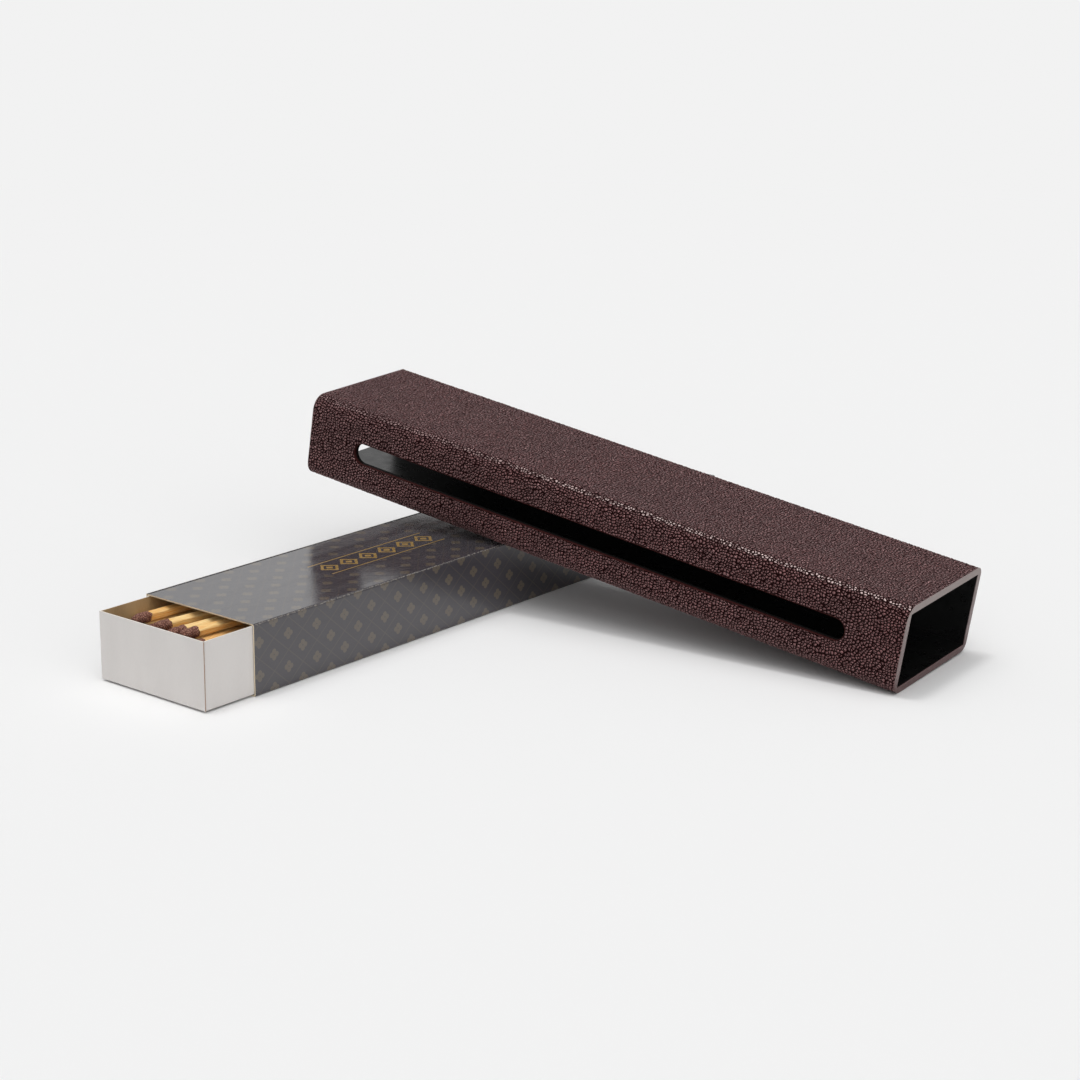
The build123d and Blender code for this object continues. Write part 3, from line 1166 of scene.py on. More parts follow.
@dataclass(frozen=True)
class HolderPlace:
    """Where the leaning holder is: the underside's middle at its low end, and its axes."""

    origin: Vector
    along: Vector
    front: Vector
    up: Vector

    @classmethod
    def from_record(cls, height: float) -> "HolderPlace":
        """Reads the place from the low mouth's mount.

        Args:
            height: The holder's height.

        Returns:
            The place.
        """
        mount = next(m for m in frame["record"]["mounts"] if m["name"] == "box_slide")
        along = -Vector(mount["axis"]).normalized()
        up = Vector((1, 0, 0)).cross(along).normalized()
        origin = Vector(mount["pos_m"]) - up * (height / 2)
        return cls(origin, along, up.cross(along), up)

    def points(self, run: np.ndarray, across: np.ndarray, rise: np.ndarray) -> np.ndarray:
        """Points of the row's frame from places in the holder's own frame.

        Args:
            run: Distances along the holder from its low end.
            across: Distances from its middle towards the slotted side.
            rise: Heights above its underside.

        Returns:
            One row for each point.
        """
        axes = np.array([self.along, self.front, self.up])
        local = np.stack(np.broadcast_arrays(run, across, rise), axis=-1)
        return np.array(self.origin) + local @ axes


@dataclass
class HolderShell:
    """The holder: leather over boards, painted edges and a black lining."""

    length: float = 280.4 * MM
    width: float = 64.8 * MM
    height: float = 35.7 * MM
    front_radius: float = 6.2 * MM
    back_radius: float = 3.6 * MM
    leather: float = 0.8 * MM
    wall: float = 2.9 * MM
    seam_gap: float = 0.2 * MM
    end_coat: float = 0.3 * MM
    slot_length: float = 232.8 * MM
    slot_width: float = 8.9 * MM
    slot_coat: float = 0.25 * MM
    glue_gap: float = 0.05 * MM
    grid_step: float = 0.5 * MM
    lip_radius: float = 0.35 * MM
    lip_shares: tuple[float, ...] = (2.0, 1.3, 0.85, 0.5, 0.22, 0.05, 0.0, 0.0)
    lip_clearance: float = 0.9 * MM
    lip_slack: float = 0.01 * MM
    calm_edge: float = 1.0 * MM
    guide_step: float = 4.0 * MM
    guide_margin: float = 3.0 * MM
    guide_splits: int = 4
    arc_extra_steps: int = 6
    nearness: float = 1e-5
    coat_steps: int = 480
    coat_waves: int = 23
    coat_wave_height: float = 0.02 * MM

    def __post_init__(self) -> None:
        """Works out the stations round the section, from the underside's middle."""
        self.place = HolderPlace.from_record(self.height)
        front, back, quarter = self.front_radius, self.back_radius, math.pi / 2
        side_f, side_b = self.width / 2 - front, self.width / 2 - back
        rise_f, rise_b = self.height / 2 - front, self.height / 2 - back
        legs = [side_f, quarter * front, 2 * rise_f, quarter * front, side_f + side_b,
                quarter * back, 2 * rise_b, quarter * back, side_b]
        self.stations = np.concatenate([[0.0], np.cumsum(legs)])
        self.turns = np.radians([-90, -90, 0, 0, 90, 90, 180, 180, 270, 270])
        self.radii = np.array([front] * 5 + [back] * 5)
        self.core_across = np.array([0, *[side_f] * 4, *[-side_b] * 4, 0])
        self.core_rise = np.array([*[-rise_f] * 3, *[rise_f] * 2, *[rise_b] * 2, *[-rise_b] * 3])
        self.slot_run = (self.stations[2] + self.stations[3]) / 2
        self.round_centre = (self.slot_length - self.slot_width) / 2

    def outline(self, girth: np.ndarray, height: np.ndarray | float = 0.0) -> tuple[np.ndarray, np.ndarray]:
        """Places round the section, seen from its centre.

        Args:
            girth: Distances round the section.
            height: Heights above the outer face, negative inside it.

        Returns:
            The places across the holder and up.
        """
        turn = np.interp(girth, self.stations, self.turns)
        reach = np.interp(girth, self.stations, self.radii) + height
        across = np.interp(girth, self.stations, self.core_across) + reach * np.cos(turn)
        return across, np.interp(girth, self.stations, self.core_rise) + reach * np.sin(turn)

    def surface(self, girth: np.ndarray, run: np.ndarray, height: np.ndarray | float) -> np.ndarray:
        """Points over the sleeve.

        Args:
            girth: Distances round the section.
            run: Distances along the holder.
            height: Heights above the outer face, negative inside it.

        Returns:
            One row for each point.
        """
        across, rise = self.outline(girth, height)
        return self.place.points(run, across, rise + self.height / 2)

    def facing(self, girth: np.ndarray) -> np.ndarray:
        """Outward directions round the section.

        Args:
            girth: Distances round the section.

        Returns:
            One row for each distance.
        """
        turn = np.interp(girth, self.stations, self.turns)
        front, up = np.array(self.place.front), np.array(self.place.up)
        return np.cos(turn)[:, None] * front + np.sin(turn)[:, None] * up

    def from_slot(self, girth: np.ndarray, run: np.ndarray) -> np.ndarray:
        """Distances from the edge of the leather's slot, negative inside it.

        Args:
            girth: Distances round the section.
            run: Distances along the holder.

        Returns:
            One distance for each point.
        """
        past = np.maximum(np.abs(run - self.length / 2) - self.round_centre, 0)
        radius = self.slot_width / 2 + self.slot_coat + self.glue_gap
        return np.hypot(past, girth - self.slot_run) - radius

    def slot_ring(self, radius: float) -> np.ndarray:
        """A closed ring round the slot at a distance from its middle line.

        Args:
            radius: The distance.

        Returns:
            The girth and the run of each point.
        """
        straight = int(round(2 * self.round_centre / self.grid_step))
        arc = int(round(math.pi * self.slot_width / 2 / self.grid_step)) + self.arc_extra_steps
        middle = self.length / 2
        ring = []
        for side in (1, -1):
            for step in range(straight):
                run = middle + side * (2 * self.round_centre * step / straight - self.round_centre)
                ring.append((self.slot_run - side * radius, run))
            for step in range(arc):
                turn = math.pi * step / arc
                girth = self.slot_run - side * radius * math.cos(turn)
                ring.append((girth, middle + side * (self.round_centre + radius * math.sin(turn))))
        return np.array(ring)

    def leather_net(self) -> tuple[np.ndarray, Faces]:
        """The leather as a closed sheet, in girth, run and height.

        Returns:
            Girth, run and height of each point, and the faces.
        """
        columns = int(round(self.stations[-1] / self.grid_step))
        rows = int(round((self.length - 2 * self.end_coat) / self.grid_step))
        girths = np.linspace(self.seam_gap / 2, self.stations[-1] - self.seam_gap / 2, columns + 1)
        runs = np.linspace(self.end_coat, self.length - self.end_coat, rows + 1)
        girth, run = (a.ravel() for a in np.meshgrid(girths, runs, indexing="ij"))
        number = np.arange(girth.size).reshape(columns + 1, rows + 1)
        clear = (self.from_slot(girth, run) > self.lip_clearance).reshape(number.shape)
        kept = clear[:-1, :-1] & clear[1:, :-1] & clear[1:, 1:] & clear[:-1, 1:]
        corners = np.stack([number[:-1, :-1], number[1:, :-1], number[1:, 1:], number[:-1, 1:]], axis=-1)
        quads = corners[kept]
        net = np.stack([girth, run, np.zeros(girth.size)], axis=1)
        faces: Faces = [tuple(q) for q in quads]

        rings, net = self.slot_lip(net, faces)
        border = self.open_border(quads, number)
        self.fill_band(net, faces, border, rings[0], kept, girths, runs)

        rim = np.concatenate([number[:, 0], number[-1, 1:], number[-2::-1, -1], number[0, -2:0:-1]])
        inner_rim = net[rim].copy()
        inner_rim[:, 2] = -self.leather
        base = len(net)
        net = np.vstack([net, inner_rim])
        for step in range(len(rim)):
            after = (step + 1) % len(rim)
            faces.append((rim[step], rim[after], base + after, base + step))
        net = self.fill_inside(net, faces, base, len(rim), rings[-1])
        used = np.unique(np.concatenate([np.asarray(face) for face in faces]))
        renumber = np.full(len(net), -1)
        renumber[used] = np.arange(len(used))
        return net[used], [tuple(renumber[list(face)]) for face in faces]

    def slot_lip(self, net: np.ndarray, faces: Faces) -> tuple[list[np.ndarray], np.ndarray]:
        """Adds the rounded lip of the leather round the slot.

        Args:
            net: The net so far.
            faces: Its faces, which grow here.

        Returns:
            The point numbers of each ring, and the grown net.
        """
        edge = self.slot_width / 2 + self.slot_coat + self.glue_gap
        rings = []
        for share in self.lip_shares:
            out = share * self.lip_radius
            inside = max(self.lip_radius - out, 0.0)
            drop = self.lip_radius - math.sqrt(max(self.lip_radius ** 2 - inside ** 2, 0.0))
            last = len(rings) == len(self.lip_shares) - 1
            ring = self.slot_ring(edge + out)
            heights = np.full((len(ring), 1), -self.leather if last else -drop)
            rings.append(np.arange(len(ring)) + len(net))
            net = np.vstack([net, np.hstack([ring, heights])])
        around = len(rings[0])
        faces.extend(tube_faces(len(rings), around, int(rings[0][0])))
        return rings, net

    def open_border(self, quads: np.ndarray, number: np.ndarray) -> list[tuple[int, int]]:
        """Edges of the grid that border the slot.

        Args:
            quads: The grid's faces.
            number: The grid's point numbers.

        Returns:
            The point numbers of each edge.
        """
        edges = np.sort(np.concatenate([quads[:, [i, (i + 1) % 4]] for i in range(4)]), axis=1)
        single, count = np.unique(edges, axis=0, return_counts=True)
        rim = np.zeros(number.size, bool)
        rim[np.concatenate([number[0], number[-1], number[:, 0], number[:, -1]])] = True
        single = single[count == 1]
        return [tuple(edge) for edge in single[~(rim[single[:, 0]] & rim[single[:, 1]])]]

    def fill_band(
        self,
        net: np.ndarray,
        faces: Faces,
        border: list[tuple[int, int]],
        ring: np.ndarray,
        kept: np.ndarray,
        girths: np.ndarray,
        runs: np.ndarray,
    ) -> None:
        """Fills between the grid and the lip's first ring.

        Args:
            net: The net.
            faces: Its faces, which grow here.
            border: The grid's edges round the slot.
            ring: The lip's first ring.
            kept: Which grid cells are there.
            girths: The grid's girths.
            runs: The grid's runs.
        """
        ring_edges = [(ring[i], ring[(i + 1) % len(ring)]) for i in range(len(ring))]
        numbers = sorted({n for edge in border for n in edge} | set(ring.tolist()))
        spot = {n: i for i, n in enumerate(numbers)}
        flat = [Vector(net[n][:2] / MM) for n in numbers]
        edges = [(spot[a], spot[b]) for a, b in [*border, *ring_edges]]
        out = delaunay_2d_cdt(flat, edges, [], 0, self.nearness, True)
        lip_start = self.lip_shares[0] * self.lip_radius - self.lip_slack
        for face in out[2]:
            old = [numbers[out[3][i][0]] for i in face]
            middle = net[old, :2].mean(axis=0)
            column = min(int(np.searchsorted(girths, middle[0])) - 1, kept.shape[0] - 1)
            row = min(int(np.searchsorted(runs, middle[1])) - 1, kept.shape[1] - 1)
            beyond = self.from_slot(middle[:1], middle[1:])[0] > lip_start
            if beyond and not kept[column, row]:
                faces.append(tuple(old))

    def fill_inside(
        self, net: np.ndarray, faces: Faces, base: int, count: int, hole: np.ndarray
    ) -> np.ndarray:
        """Fills the leather's inner face, between its rim and the slot.

        Args:
            net: The net.
            faces: Its faces, which grow here.
            base: The first point of the inner rim.
            count: The points of the inner rim.
            hole: The slot's inner ring.

        Returns:
            The grown net.
        """
        guides = []
        runs = np.arange(self.guide_step, self.length - self.guide_margin, self.guide_step)
        for start, end in zip(self.stations[1:-1:2], self.stations[2:-1:2]):
            for split in range(self.guide_splits + 1):
                girth = start + (end - start) * split / self.guide_splits
                guides += [(girth, run, -self.leather) for run in runs]
        first_guide = len(net)
        net = np.vstack([net, np.array(guides)])
        rim = np.arange(base, base + count)
        numbers = [*rim.tolist(), *hole.tolist(), *range(first_guide, len(net))]
        edges = [(i, (i + 1) % count) for i in range(count)]
        edges += [(count + i, count + (i + 1) % len(hole)) for i in range(len(hole))]
        flat = [Vector(net[n][:2] / MM) for n in numbers]
        out = delaunay_2d_cdt(flat, edges, [], 0, self.nearness, True)
        for face in out[2]:
            old = [numbers[out[3][i][0]] for i in face]
            middle = net[old, :2].mean(axis=0)
            if self.from_slot(middle[:1], middle[1:])[0] > 0:
                faces.append(tuple(old))
        return net

    def leather_piece(self, finish: LeatherFinish, material: bpy.types.Material) -> bpy.types.Object:
        """The leather, with its pebbles raised.

        Args:
            finish: The leather's finish, for the pebbles' size.
            material: Its material.

        Returns:
            The piece.
        """
        net, faces = self.leather_net()
        girth, run, height = net.T
        piece = mesh_piece("leather_wrap_grain", self.surface(girth, run, height), faces, material)
        outward(piece)
        past_low, short_of_high = run - self.end_coat, self.length - self.end_coat - run
        to_edge = np.minimum.reduce([past_low, short_of_high, self.from_slot(girth, run)])
        calm = np.clip(to_edge / self.calm_edge, 0, 1) * (height > -0.5 * self.leather)
        point_values(piece, "unwrap", np.stack([girth, run, np.zeros(len(net))], axis=1) / MM)
        point_values(piece, "outward", self.facing(girth))
        point_values(piece, "relief", calm * finish.relief)
        self.raise_pebbles(piece, finish)
        seat(piece, Body.HOLDER, Slot.LEATHER, "leather_wrap")
        return piece

    def raise_pebbles(self, piece: bpy.types.Object, finish: LeatherFinish) -> None:
        """Lifts the mesh into pebbles, with the nodes that also colour them.

        Args:
            piece: The leather.
            finish: Its finish.
        """
        group = bpy.data.node_groups.new("pebble_relief", "GeometryNodeTree")
        group.interface.new_socket("Geometry", in_out="INPUT", socket_type="NodeSocketGeometry")
        group.interface.new_socket("Geometry", in_out="OUTPUT", socket_type="NodeSocketGeometry")
        bench = NodeBench(group)
        given = bench.add("NodeGroupInput")
        kind = "GeometryNodeInputNamedAttribute"
        unwrap = bench.add(kind, {"Name": "unwrap"}, data_type="FLOAT_VECTOR").outputs[0]
        facing = bench.add(kind, {"Name": "outward"}, data_type="FLOAT_VECTOR").outputs[0]
        relief = bench.add(kind, {"Name": "relief"}, data_type="FLOAT").outputs[0]
        height, _ = finish.pebble.field(bench, unwrap)
        raised = bench.sum("MULTIPLY", bench.sum("SUBTRACT", height, finish.level_share), relief)
        scaled = bench.add("ShaderNodeVectorMath", {0: facing, 3: raised}, operation="SCALE")
        places = {"Geometry": given.outputs[0], "Offset": scaled.outputs[0]}
        moved = bench.add("GeometryNodeSetPosition", places)
        bench.add("NodeGroupOutput", {0: moved.outputs[0]})
        piece.modifiers.new("pebbles", "NODES").node_group = group
        graph = bpy.context.evaluated_depsgraph_get()
        raised_mesh = bpy.data.meshes.new_from_object(
            piece.evaluated_get(graph), preserve_all_data_layers=True, depsgraph=graph
        )
        piece.modifiers.clear()
        piece.data = raised_mesh

    def end_coat_piece(self, at_high_end: bool, material: bpy.types.Material) -> bpy.types.Object:
        """The domed paint over the wall's cut edge at one end.

        Args:
            at_high_end: Whether it is the high end.
            material: Its material.

        Returns:
            The piece.
        """
        girth = np.linspace(0, self.stations[-1], self.coat_steps, endpoint=False)
        outer = np.stack(self.outline(girth), axis=1)
        half = np.array([self.width / 2 - self.wall, self.height / 2 - self.wall])
        inner = np.clip(outer, -half, half)
        rings, rises = [], []
        outer_half = ((0.0, 1.0), (0.0, 0.4), (0.03, 0.14), (0.1, 0.03), (0.3, 0.0))
        inner_half = tuple((1 - share, back) for share, back in reversed(outer_half))
        shift = np.sin(girth / self.stations[-1] * 2 * math.pi * self.coat_waves) * self.coat_wave_height
        for share, back in outer_half + inner_half:
            flat = outer + (inner - outer) * share
            depth = back * self.end_coat + shift * (1 - back)
            run = self.length - depth if at_high_end else depth
            rings.append(self.place.points(run, flat[:, 0], flat[:, 1] + self.height / 2))
            rises.append(flat[:, 1] / self.height + 0.5)
        faces = tube_faces(len(rings), self.coat_steps, closed=True)
        end = "high" if at_high_end else "low"
        piece = mesh_piece(f"{end}_end_edge_paint", np.vstack(rings), faces, material)
        outward(piece)
        point_values(piece, "rise_share", np.concatenate(rises))
        seat(piece, Body.HOLDER, Slot.EDGE_PAINT, f"{end}_end_edge_coat")
        return piece

    def slot_coat_piece(self, material: bpy.types.Material) -> bpy.types.Object:
        """The paint on the slot's cut wall.

        Args:
            material: Its material.

        Returns:
            The piece.
        """
        rounded_edge = ((1.0, 0.12), (0.6, 0.02), (0.25, 0.04), (0.0, 0.12))
        wall = ((0.0, 0.5), (0.0, 1.0), (1.0, 1.0), (1.0, 0.5))
        rings, depths = [], []
        for share, depth in rounded_edge + wall:
            ring = self.slot_ring(self.slot_width / 2 + share * self.slot_coat)
            rings.append(self.surface(ring[:, 0], ring[:, 1], -depth * self.wall))
            depths.append(np.full(len(ring), depth))
        faces = tube_faces(len(rings), len(rings[0]), closed=True)
        piece = mesh_piece("slot_edge_paint", np.vstack(rings), faces, material)
        outward(piece)
        point_values(piece, "wall_depth", np.concatenate(depths))
        seat(piece, Body.HOLDER, Slot.SLOT_PAINT, "slot_edge_coat")
        return piece

    def build(self, effects: Effects) -> None:
        """Builds and dresses the whole holder.

        Args:
            effects: The shared effects.
        """
        leather = LeatherFinish()
        self.leather_piece(leather, leather.material(effects))
        paint = EdgePaintFinish().material(effects)
        self.end_coat_piece(False, paint)
        self.end_coat_piece(True, paint)
        self.slot_coat_piece(SlotPaintFinish().material(effects))
        dress("lining", LiningFinish().material(effects))
        board = BoardFinish().material(effects)
        for node in ("core_top_board", "core_bottom_board", "core_slotted_board", "core_back_board"):
            dress(node, board)


@dataclass
class MatchboxCover:
    """The printed cover and its striking strip."""

    def build(self, effects: Effects) -> None:
        """Dresses the cover.

        Args:
            effects: The shared effects.
        """
        dress("cover_card", PrintedCardFinish().material(effects))
        dress("striker_strip", StrikerFinish().material(effects))


@dataclass
class DrawerTray:
    """The drawer's folded card tray."""

    def build(self, effects: Effects) -> None:
        """Dresses the tray.

        Args:
            effects: The shared effects.
        """
        dress("tray_card", TrayCardFinish().material(effects))


@dataclass(frozen=True)
class SplintPlace:
    """Where one splint lies: its head end's middle, its directions and its sizes."""

    start: np.ndarray
    along: np.ndarray
    across: np.ndarray
    up: np.ndarray
    length: float
    half: float


@dataclass(frozen=True)
class Lobes:
    """Waves round a match head, that may wind along it."""

    count: int
    height: float
    winding: float = 0.0

    def wave(self, turns: np.ndarray, phase: float, share: float = 0.0) -> np.ndarray:
        """The height of the waves at each turn round the head, at a place along it."""
        return self.height * np.sin(turns * self.count + phase + share * self.winding)


@dataclass(frozen=True)
class HeadShape:
    """Form of a dipped head, from its neck at 0 to its tip at -1."""

    length: float = 7.5 * MM
    thickness: float = 3.9 * MM
    sides: int = 20
    roughness: float = 0.02 * MM
    neck_profile: tuple[tuple[float, float], ...] = (
        (0.035, 0.86), (0.0, 0.93), (-0.08, 0.97), (-0.2, 0.99), (-0.36, 1.0), (-0.52, 1.0),
    )
    tip_profile: tuple[tuple[float, float], ...] = (
        (-0.66, 0.97), (-0.79, 0.9), (-0.89, 0.76), (-0.96, 0.54), (-0.99, 0.3),
    )
    neck_raggedness: float = 0.22 * MM
    neck_fade: float = 9.0
    neck_calm: float = 0.5
    neck_lobes: tuple[Lobes, Lobes] = (Lobes(2, 0.9), Lobes(5, 0.6))
    lump_lobes: tuple[Lobes, Lobes] = (Lobes(3, 0.05, 9.0), Lobes(2, 0.04, -14.0))
    squareness: float = 0.55
    square_fade: float = 2.2
    square_limit: float = 1.2


@dataclass
class MatchPile:
    """All matches: splints and dipped heads, packed and loose."""

    layers: int = 5
    weld_reach: float = 1e-6
    corner_cut: float = 0.32 * MM
    wobble: float = 0.035 * MM
    end_tuck: float = 0.94
    head_stops: tuple[float, ...] = (0.0, 0.0015, 0.01)
    middle_span: Span = (0.06, 0.94)
    middle_stops: int = 14
    far_stops: tuple[float, ...] = (0.99, 0.9985, 1.0)
    grain_spread: float = 400.0
    head_shape: HeadShape = HeadShape()
    seed: int = 11

    def __post_init__(self) -> None:
        """Starts the seeded draws that make each match differ."""
        self.draws = np.random.default_rng(self.seed)

    def solids(self, node: str) -> list[np.ndarray]:
        """The corner points of each separate solid of a node.

        Args:
            node: The node's name.

        Returns:
            One array of points for each solid.
        """
        work = bmesh.new()
        work.from_mesh(frame["nodes"][node].data)
        bmesh.ops.remove_doubles(work, verts=work.verts, dist=self.weld_reach)
        found, seen = [], set()
        for start in work.verts:
            if start in seen:
                continue
            seen.add(start)
            group, queue = [], [start]
            while queue:
                vert = queue.pop()
                group.append(vert.co[:])
                for edge in vert.link_edges:
                    other = edge.other_vert(vert)
                    if other not in seen:
                        seen.add(other)
                        queue.append(other)
            found.append(np.array(group))
        work.free()
        return found

    def splint_place(self, corners: np.ndarray) -> SplintPlace:
        """Finds where one splint lies.

        Args:
            corners: Its corner points.

        Returns:
            Its place.
        """
        middle = corners.mean(axis=0)
        along = np.linalg.svd(corners - middle)[2][0]
        along = along if along[0] > 0 else -along
        reach = (corners - middle) @ along
        head_end = corners[reach < 0]
        start, stop = head_end.mean(axis=0), corners[reach > 0].mean(axis=0)
        spokes = head_end - start
        beside = spokes[np.argmin(np.abs(spokes @ spokes[0]))]
        across, up = spokes[0] - beside, spokes[0] + beside
        half = float(np.linalg.norm(across)) / 2
        across, up = across / np.linalg.norm(across), up / np.linalg.norm(up)
        if abs(across[2]) > abs(up[2]):
            across, up = up, across
        return SplintPlace(start, along, across, up, float(np.linalg.norm(stop - start)), half)

    def splint(self, place: SplintPlace) -> tuple[np.ndarray, Faces, np.ndarray]:
        """One splint with eased corners and a slight unevenness.

        Args:
            place: Where it lies.

        Returns:
            Points, faces and the place of each point in the wood's grain.
        """
        half, flat = place.half, place.half - self.corner_cut
        section = np.array([
            (half, -flat), (half, flat), (flat, half), (-flat, half),
            (-half, flat), (-half, -flat), (-flat, -half), (flat, -half),
        ])
        sides = len(section)
        middle = np.linspace(*self.middle_span, self.middle_stops)
        stops = np.concatenate([self.head_stops, middle, self.far_stops])
        points, grain = [], []
        offset = self.draws.uniform(0, self.grain_spread, 3)
        for stop in stops:
            tuck = self.end_tuck if stop in (0, 1) else 1.0
            uneven = self.draws.normal(0, self.wobble / 2, section.shape).clip(-self.wobble, self.wobble)
            ring = section * tuck + uneven
            centre = place.start + place.along * place.length * stop
            points.append(centre + ring[:, :1] * place.across + ring[:, 1:] * place.up)
            local = np.hstack([np.full((sides, 1), place.length * stop), ring]) / MM
            grain.append(local + offset)
        faces = tube_faces(len(stops), sides)
        faces.append(tuple(range(sides - 1, -1, -1)))
        faces.append(tuple(range((len(stops) - 1) * sides, len(stops) * sides)))
        return np.vstack(points), faces, np.vstack(grain)

    def head(self, place: SplintPlace) -> tuple[np.ndarray, Faces]:
        """One lumpy dipped head at the end of a splint.

        Args:
            place: Where the splint lies.

        Returns:
            Points and faces.
        """
        shape, around = self.head_shape, self.head_shape.sides
        turns = np.linspace(0, 2 * math.pi, around, endpoint=False)
        squareness = 1 / np.maximum(np.abs(np.cos(turns)), np.abs(np.sin(turns)))
        phase = self.draws.uniform(0, 2 * math.pi, 4)
        (wide, narrow), (first, second) = shape.neck_lobes, shape.lump_lobes
        ragged = 1 + wide.wave(turns, phase[0]) + narrow.wave(turns, phase[1])
        points = []
        for share, swell in shape.neck_profile + shape.tip_profile:
            at_neck = max(0.0, 1 + share * shape.neck_fade)
            square = squareness ** (shape.squareness * max(0.0, 1 + share * shape.square_fade))
            lumps = first.wave(turns, phase[2], share) + second.wave(turns, phase[3], share)
            lumpy = 1 + lumps * (1 - shape.neck_calm * at_neck)
            reach = shape.thickness / 2 * swell * np.minimum(square, shape.square_limit) * lumpy
            reach = reach + self.draws.normal(0, shape.roughness, around)
            run = share * shape.length + ragged * shape.neck_raggedness * at_neck
            centre = place.start[None, :] + place.along[None, :] * run[:, None]
            sideways = (reach * np.cos(turns))[:, None] * place.across
            points.append(centre + sideways + (reach * np.sin(turns))[:, None] * place.up)
        faces = tube_faces(len(points), around)
        faces.append(tuple(range(around - 1, -1, -1)))
        last = (len(points) - 1) * around
        points.append((place.start - place.along * shape.length)[None, :])
        faces += [(last + i, last + (i + 1) % around, last + around) for i in range(around)]
        return np.vstack(points), faces

    def group(
        self, splints_node: str, heads_node: str, wood: bpy.types.Material, mix: bpy.types.Material
    ) -> None:
        """Builds the matches of one layer or of the loose group.

        Args:
            splints_node: The node of the splints.
            heads_node: The node of the heads.
            wood: The splints' material.
            mix: The heads' material.
        """
        splints, heads, grains, tones = [], [], [], []
        for corners in self.solids(splints_node):
            place = self.splint_place(corners)
            points, faces, grain = self.splint(place)
            splints.append((points, faces))
            grains.append(grain)
            tones.append(np.full(len(points), self.draws.uniform()))
            heads.append(self.head(place))
        piece = mesh_piece(splints_node + "_wood", *merged(splints), wood, smooth=False)
        outward(piece)
        point_values(piece, "grain_place", np.vstack(grains))
        point_values(piece, "own_tone", np.concatenate(tones))
        seat(piece, Body.DRAWER, Slot.SPLINT, splints_node)
        piece = mesh_piece(heads_node + "_dipped", *merged(heads), mix)
        outward(piece)
        seat(piece, Body.DRAWER, Slot.HEAD, heads_node)

    def build(self, effects: Effects) -> None:
        """Builds and dresses all matches.

        Args:
            effects: The shared effects.
        """
        wood, mix = SplintFinish().material(effects), HeadFinish().material(effects)
        for layer in range(1, self.layers + 1):
            self.group(f"match_splints_layer_{layer}", f"match_heads_layer_{layer}", wood, mix)
        self.group("loose_match_splints", "loose_match_heads", wood, mix)


@dataclass(frozen=True)
class SoftLamp:
    """A far soft lamp.

    It hangs in a direction seen from the object, looks as wide from there as its
    spread in degrees, and its level of 1 lights a surface facing it to full white.
    """

    name: str
    direction: tuple[float, float, float]
    spread: float
    level: float

    def hang(self) -> None:
        """Hangs the lamp."""
        data = bpy.data.lights.new(self.name, "SUN")
        data.angle, data.energy = math.radians(self.spread), self.level * math.pi
        lamp = bpy.data.objects.new(self.name, data)
        lamp.matrix_world = Vector(self.direction).to_track_quat("Z", "Y").to_matrix().to_4x4()
        bpy.context.scene.collection.objects.link(lamp)


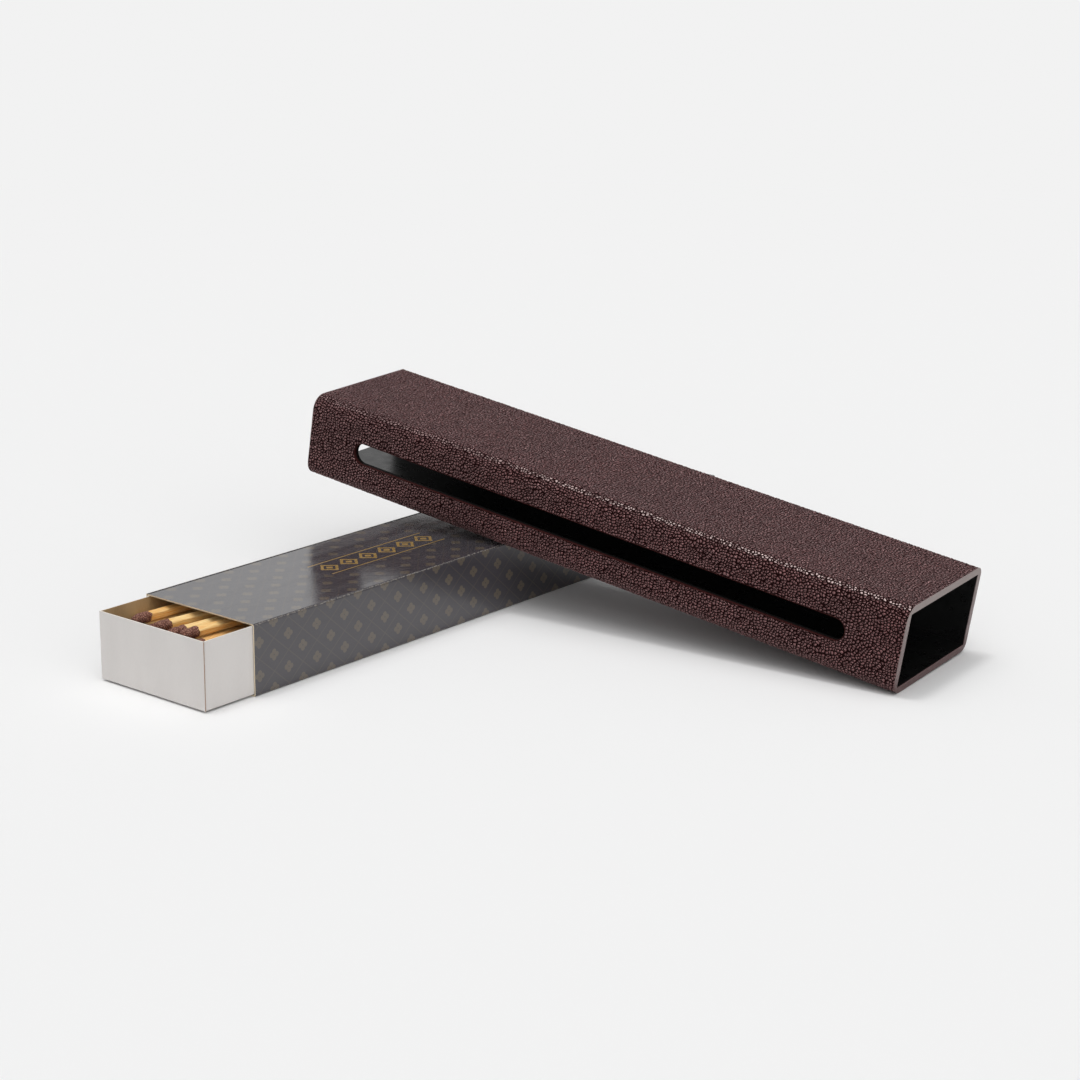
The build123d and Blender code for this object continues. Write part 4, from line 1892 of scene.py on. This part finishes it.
@dataclass
class Studio:
    """Camera, floor, backdrop and soft lamps."""

    target: tuple[float, float, float] = (0.03205, -0.01905, 0.020)
    bearing: float = 50.787
    elevation: float = 16.014
    roll: float = 0.532
    distance: float = 1.02483
    lens: float = 80.814
    sensor: float = 36.0
    nearest: float = 0.01
    backdrop: float = 0.887
    fill: float = 0.24
    gloss_low: float = 0.34
    gloss_high: float = 0.75
    gloss_above: float = 0.3
    floor_reach: float = 6.0
    floor_drop: float = 0.05 * MM
    floor_colour: Colour = (0.86, 0.86, 0.86, 1.0)
    fade_start: float = 0.42
    fade_end: float = 1.3
    lamps: tuple[SoftLamp, ...] = (
        SoftLamp("key_lamp", (-0.1, 0.14, 1.0), 10.0, 0.17),
        SoftLamp("roof_lamp", (-0.1, 0.0, 1.0), 60.0, 0.39),
        SoftLamp("front_lamp", (-0.5, -0.62, 0.6), 80.0, 0.4),
    )

    def camera(self) -> None:
        """Sets up the camera at the photograph's viewing angle."""
        turn, tilt, roll = map(math.radians, (self.bearing, self.elevation, self.roll))
        ahead = Vector((math.sin(turn) * math.cos(tilt), math.cos(turn) * math.cos(tilt), -math.sin(tilt)))
        level = Vector((math.cos(turn), -math.sin(turn), 0))
        rise = level.cross(ahead)
        right = level * math.cos(roll) + rise * math.sin(roll)
        rise = right.cross(ahead)
        data = bpy.data.cameras.new("camera")
        data.lens, data.sensor_width, data.clip_start = self.lens, self.sensor, self.nearest
        camera = bpy.data.objects.new("camera", data)
        place = Vector(self.target) - ahead * self.distance
        camera.matrix_world = Matrix.Translation(place) @ Matrix((right, rise, -ahead)).transposed().to_4x4()
        bpy.context.scene.collection.objects.link(camera)
        bpy.context.scene.camera = camera

    def world(self) -> None:
        """Sets up an even pale surround, with its own strength for what the camera and gloss see."""
        world = bpy.data.worlds.new("surround")
        bpy.context.scene.world = world
        world.use_nodes = True
        bench = NodeBench(world.node_tree)
        path = bench.add("ShaderNodeLightPath")
        seen = bench.sum("MAXIMUM", path.outputs["Is Camera Ray"], path.outputs["Is Glossy Ray"])
        seen = bench.sum("MAXIMUM", seen, path.outputs["Is Transmission Ray"])
        rise = bench.parts(bench.add("ShaderNodeTexCoord").outputs["Generated"])[2]
        gloss = bench.ease(rise, self.gloss_low, self.gloss_high, 1.0, self.gloss_above)
        gloss = bench.sum("MULTIPLY", gloss, self.backdrop)
        shown = bench.between(path.outputs["Is Camera Ray"], gloss, self.backdrop)
        strength = bench.between(seen, self.fill, shown)
        background = world.node_tree.nodes["Background"]
        background.inputs["Color"].default_value = (1, 1, 1, 1)
        bench.feed(background.inputs["Strength"], strength)

    def floor(self) -> None:
        """Lays a pale floor that takes the shadow and fades into the surround."""
        reach, level = self.floor_reach, -self.floor_drop
        corners = [(-reach, -reach, level), (reach, -reach, level)]
        corners += [(reach, reach, level), (-reach, reach, level)]
        material = bpy.data.materials.new("studio_floor")
        material.use_nodes = True
        bench = NodeBench(material.node_tree)
        surface = material.node_tree.nodes["Principled BSDF"]
        surface.inputs["Base Color"].default_value = self.floor_colour
        surface.inputs["Roughness"].default_value = 1.0
        surface.inputs["Specular IOR Level"].default_value = 0.0
        glow = bench.add("ShaderNodeEmission", {"Strength": self.backdrop})
        here = bench.add("ShaderNodeTexCoord").outputs["Object"]
        share = bench.ease(bench.vector("LENGTH", here), self.fade_start, self.fade_end)
        mixed = bench.add("ShaderNodeMixShader", {0: share, 1: surface.outputs[0], 2: glow.outputs[0]})
        bench.feed(material.node_tree.nodes["Material Output"].inputs["Surface"], mixed.outputs[0])
        floor = mesh_piece("studio_floor", np.array(corners), [(0, 1, 2, 3)], material, smooth=False)

    def build(self) -> None:
        """Sets up the whole studio."""
        self.camera()
        self.world()
        self.floor()
        for lamp in self.lamps:
            lamp.hang()
        bpy.context.scene.view_settings.view_transform = "Standard"


def main() -> None:
    """Builds the studio and the sub-assemblies in order."""
    logging.basicConfig(level=logging.INFO, format="%(name)s: %(message)s")
    Studio().build()
    effects = Effects()
    HolderShell().build(effects)
    MatchboxCover().build(effects)
    DrawerTray().build(effects)
    MatchPile().build(effects)


if __name__ == "__main__":
    main()
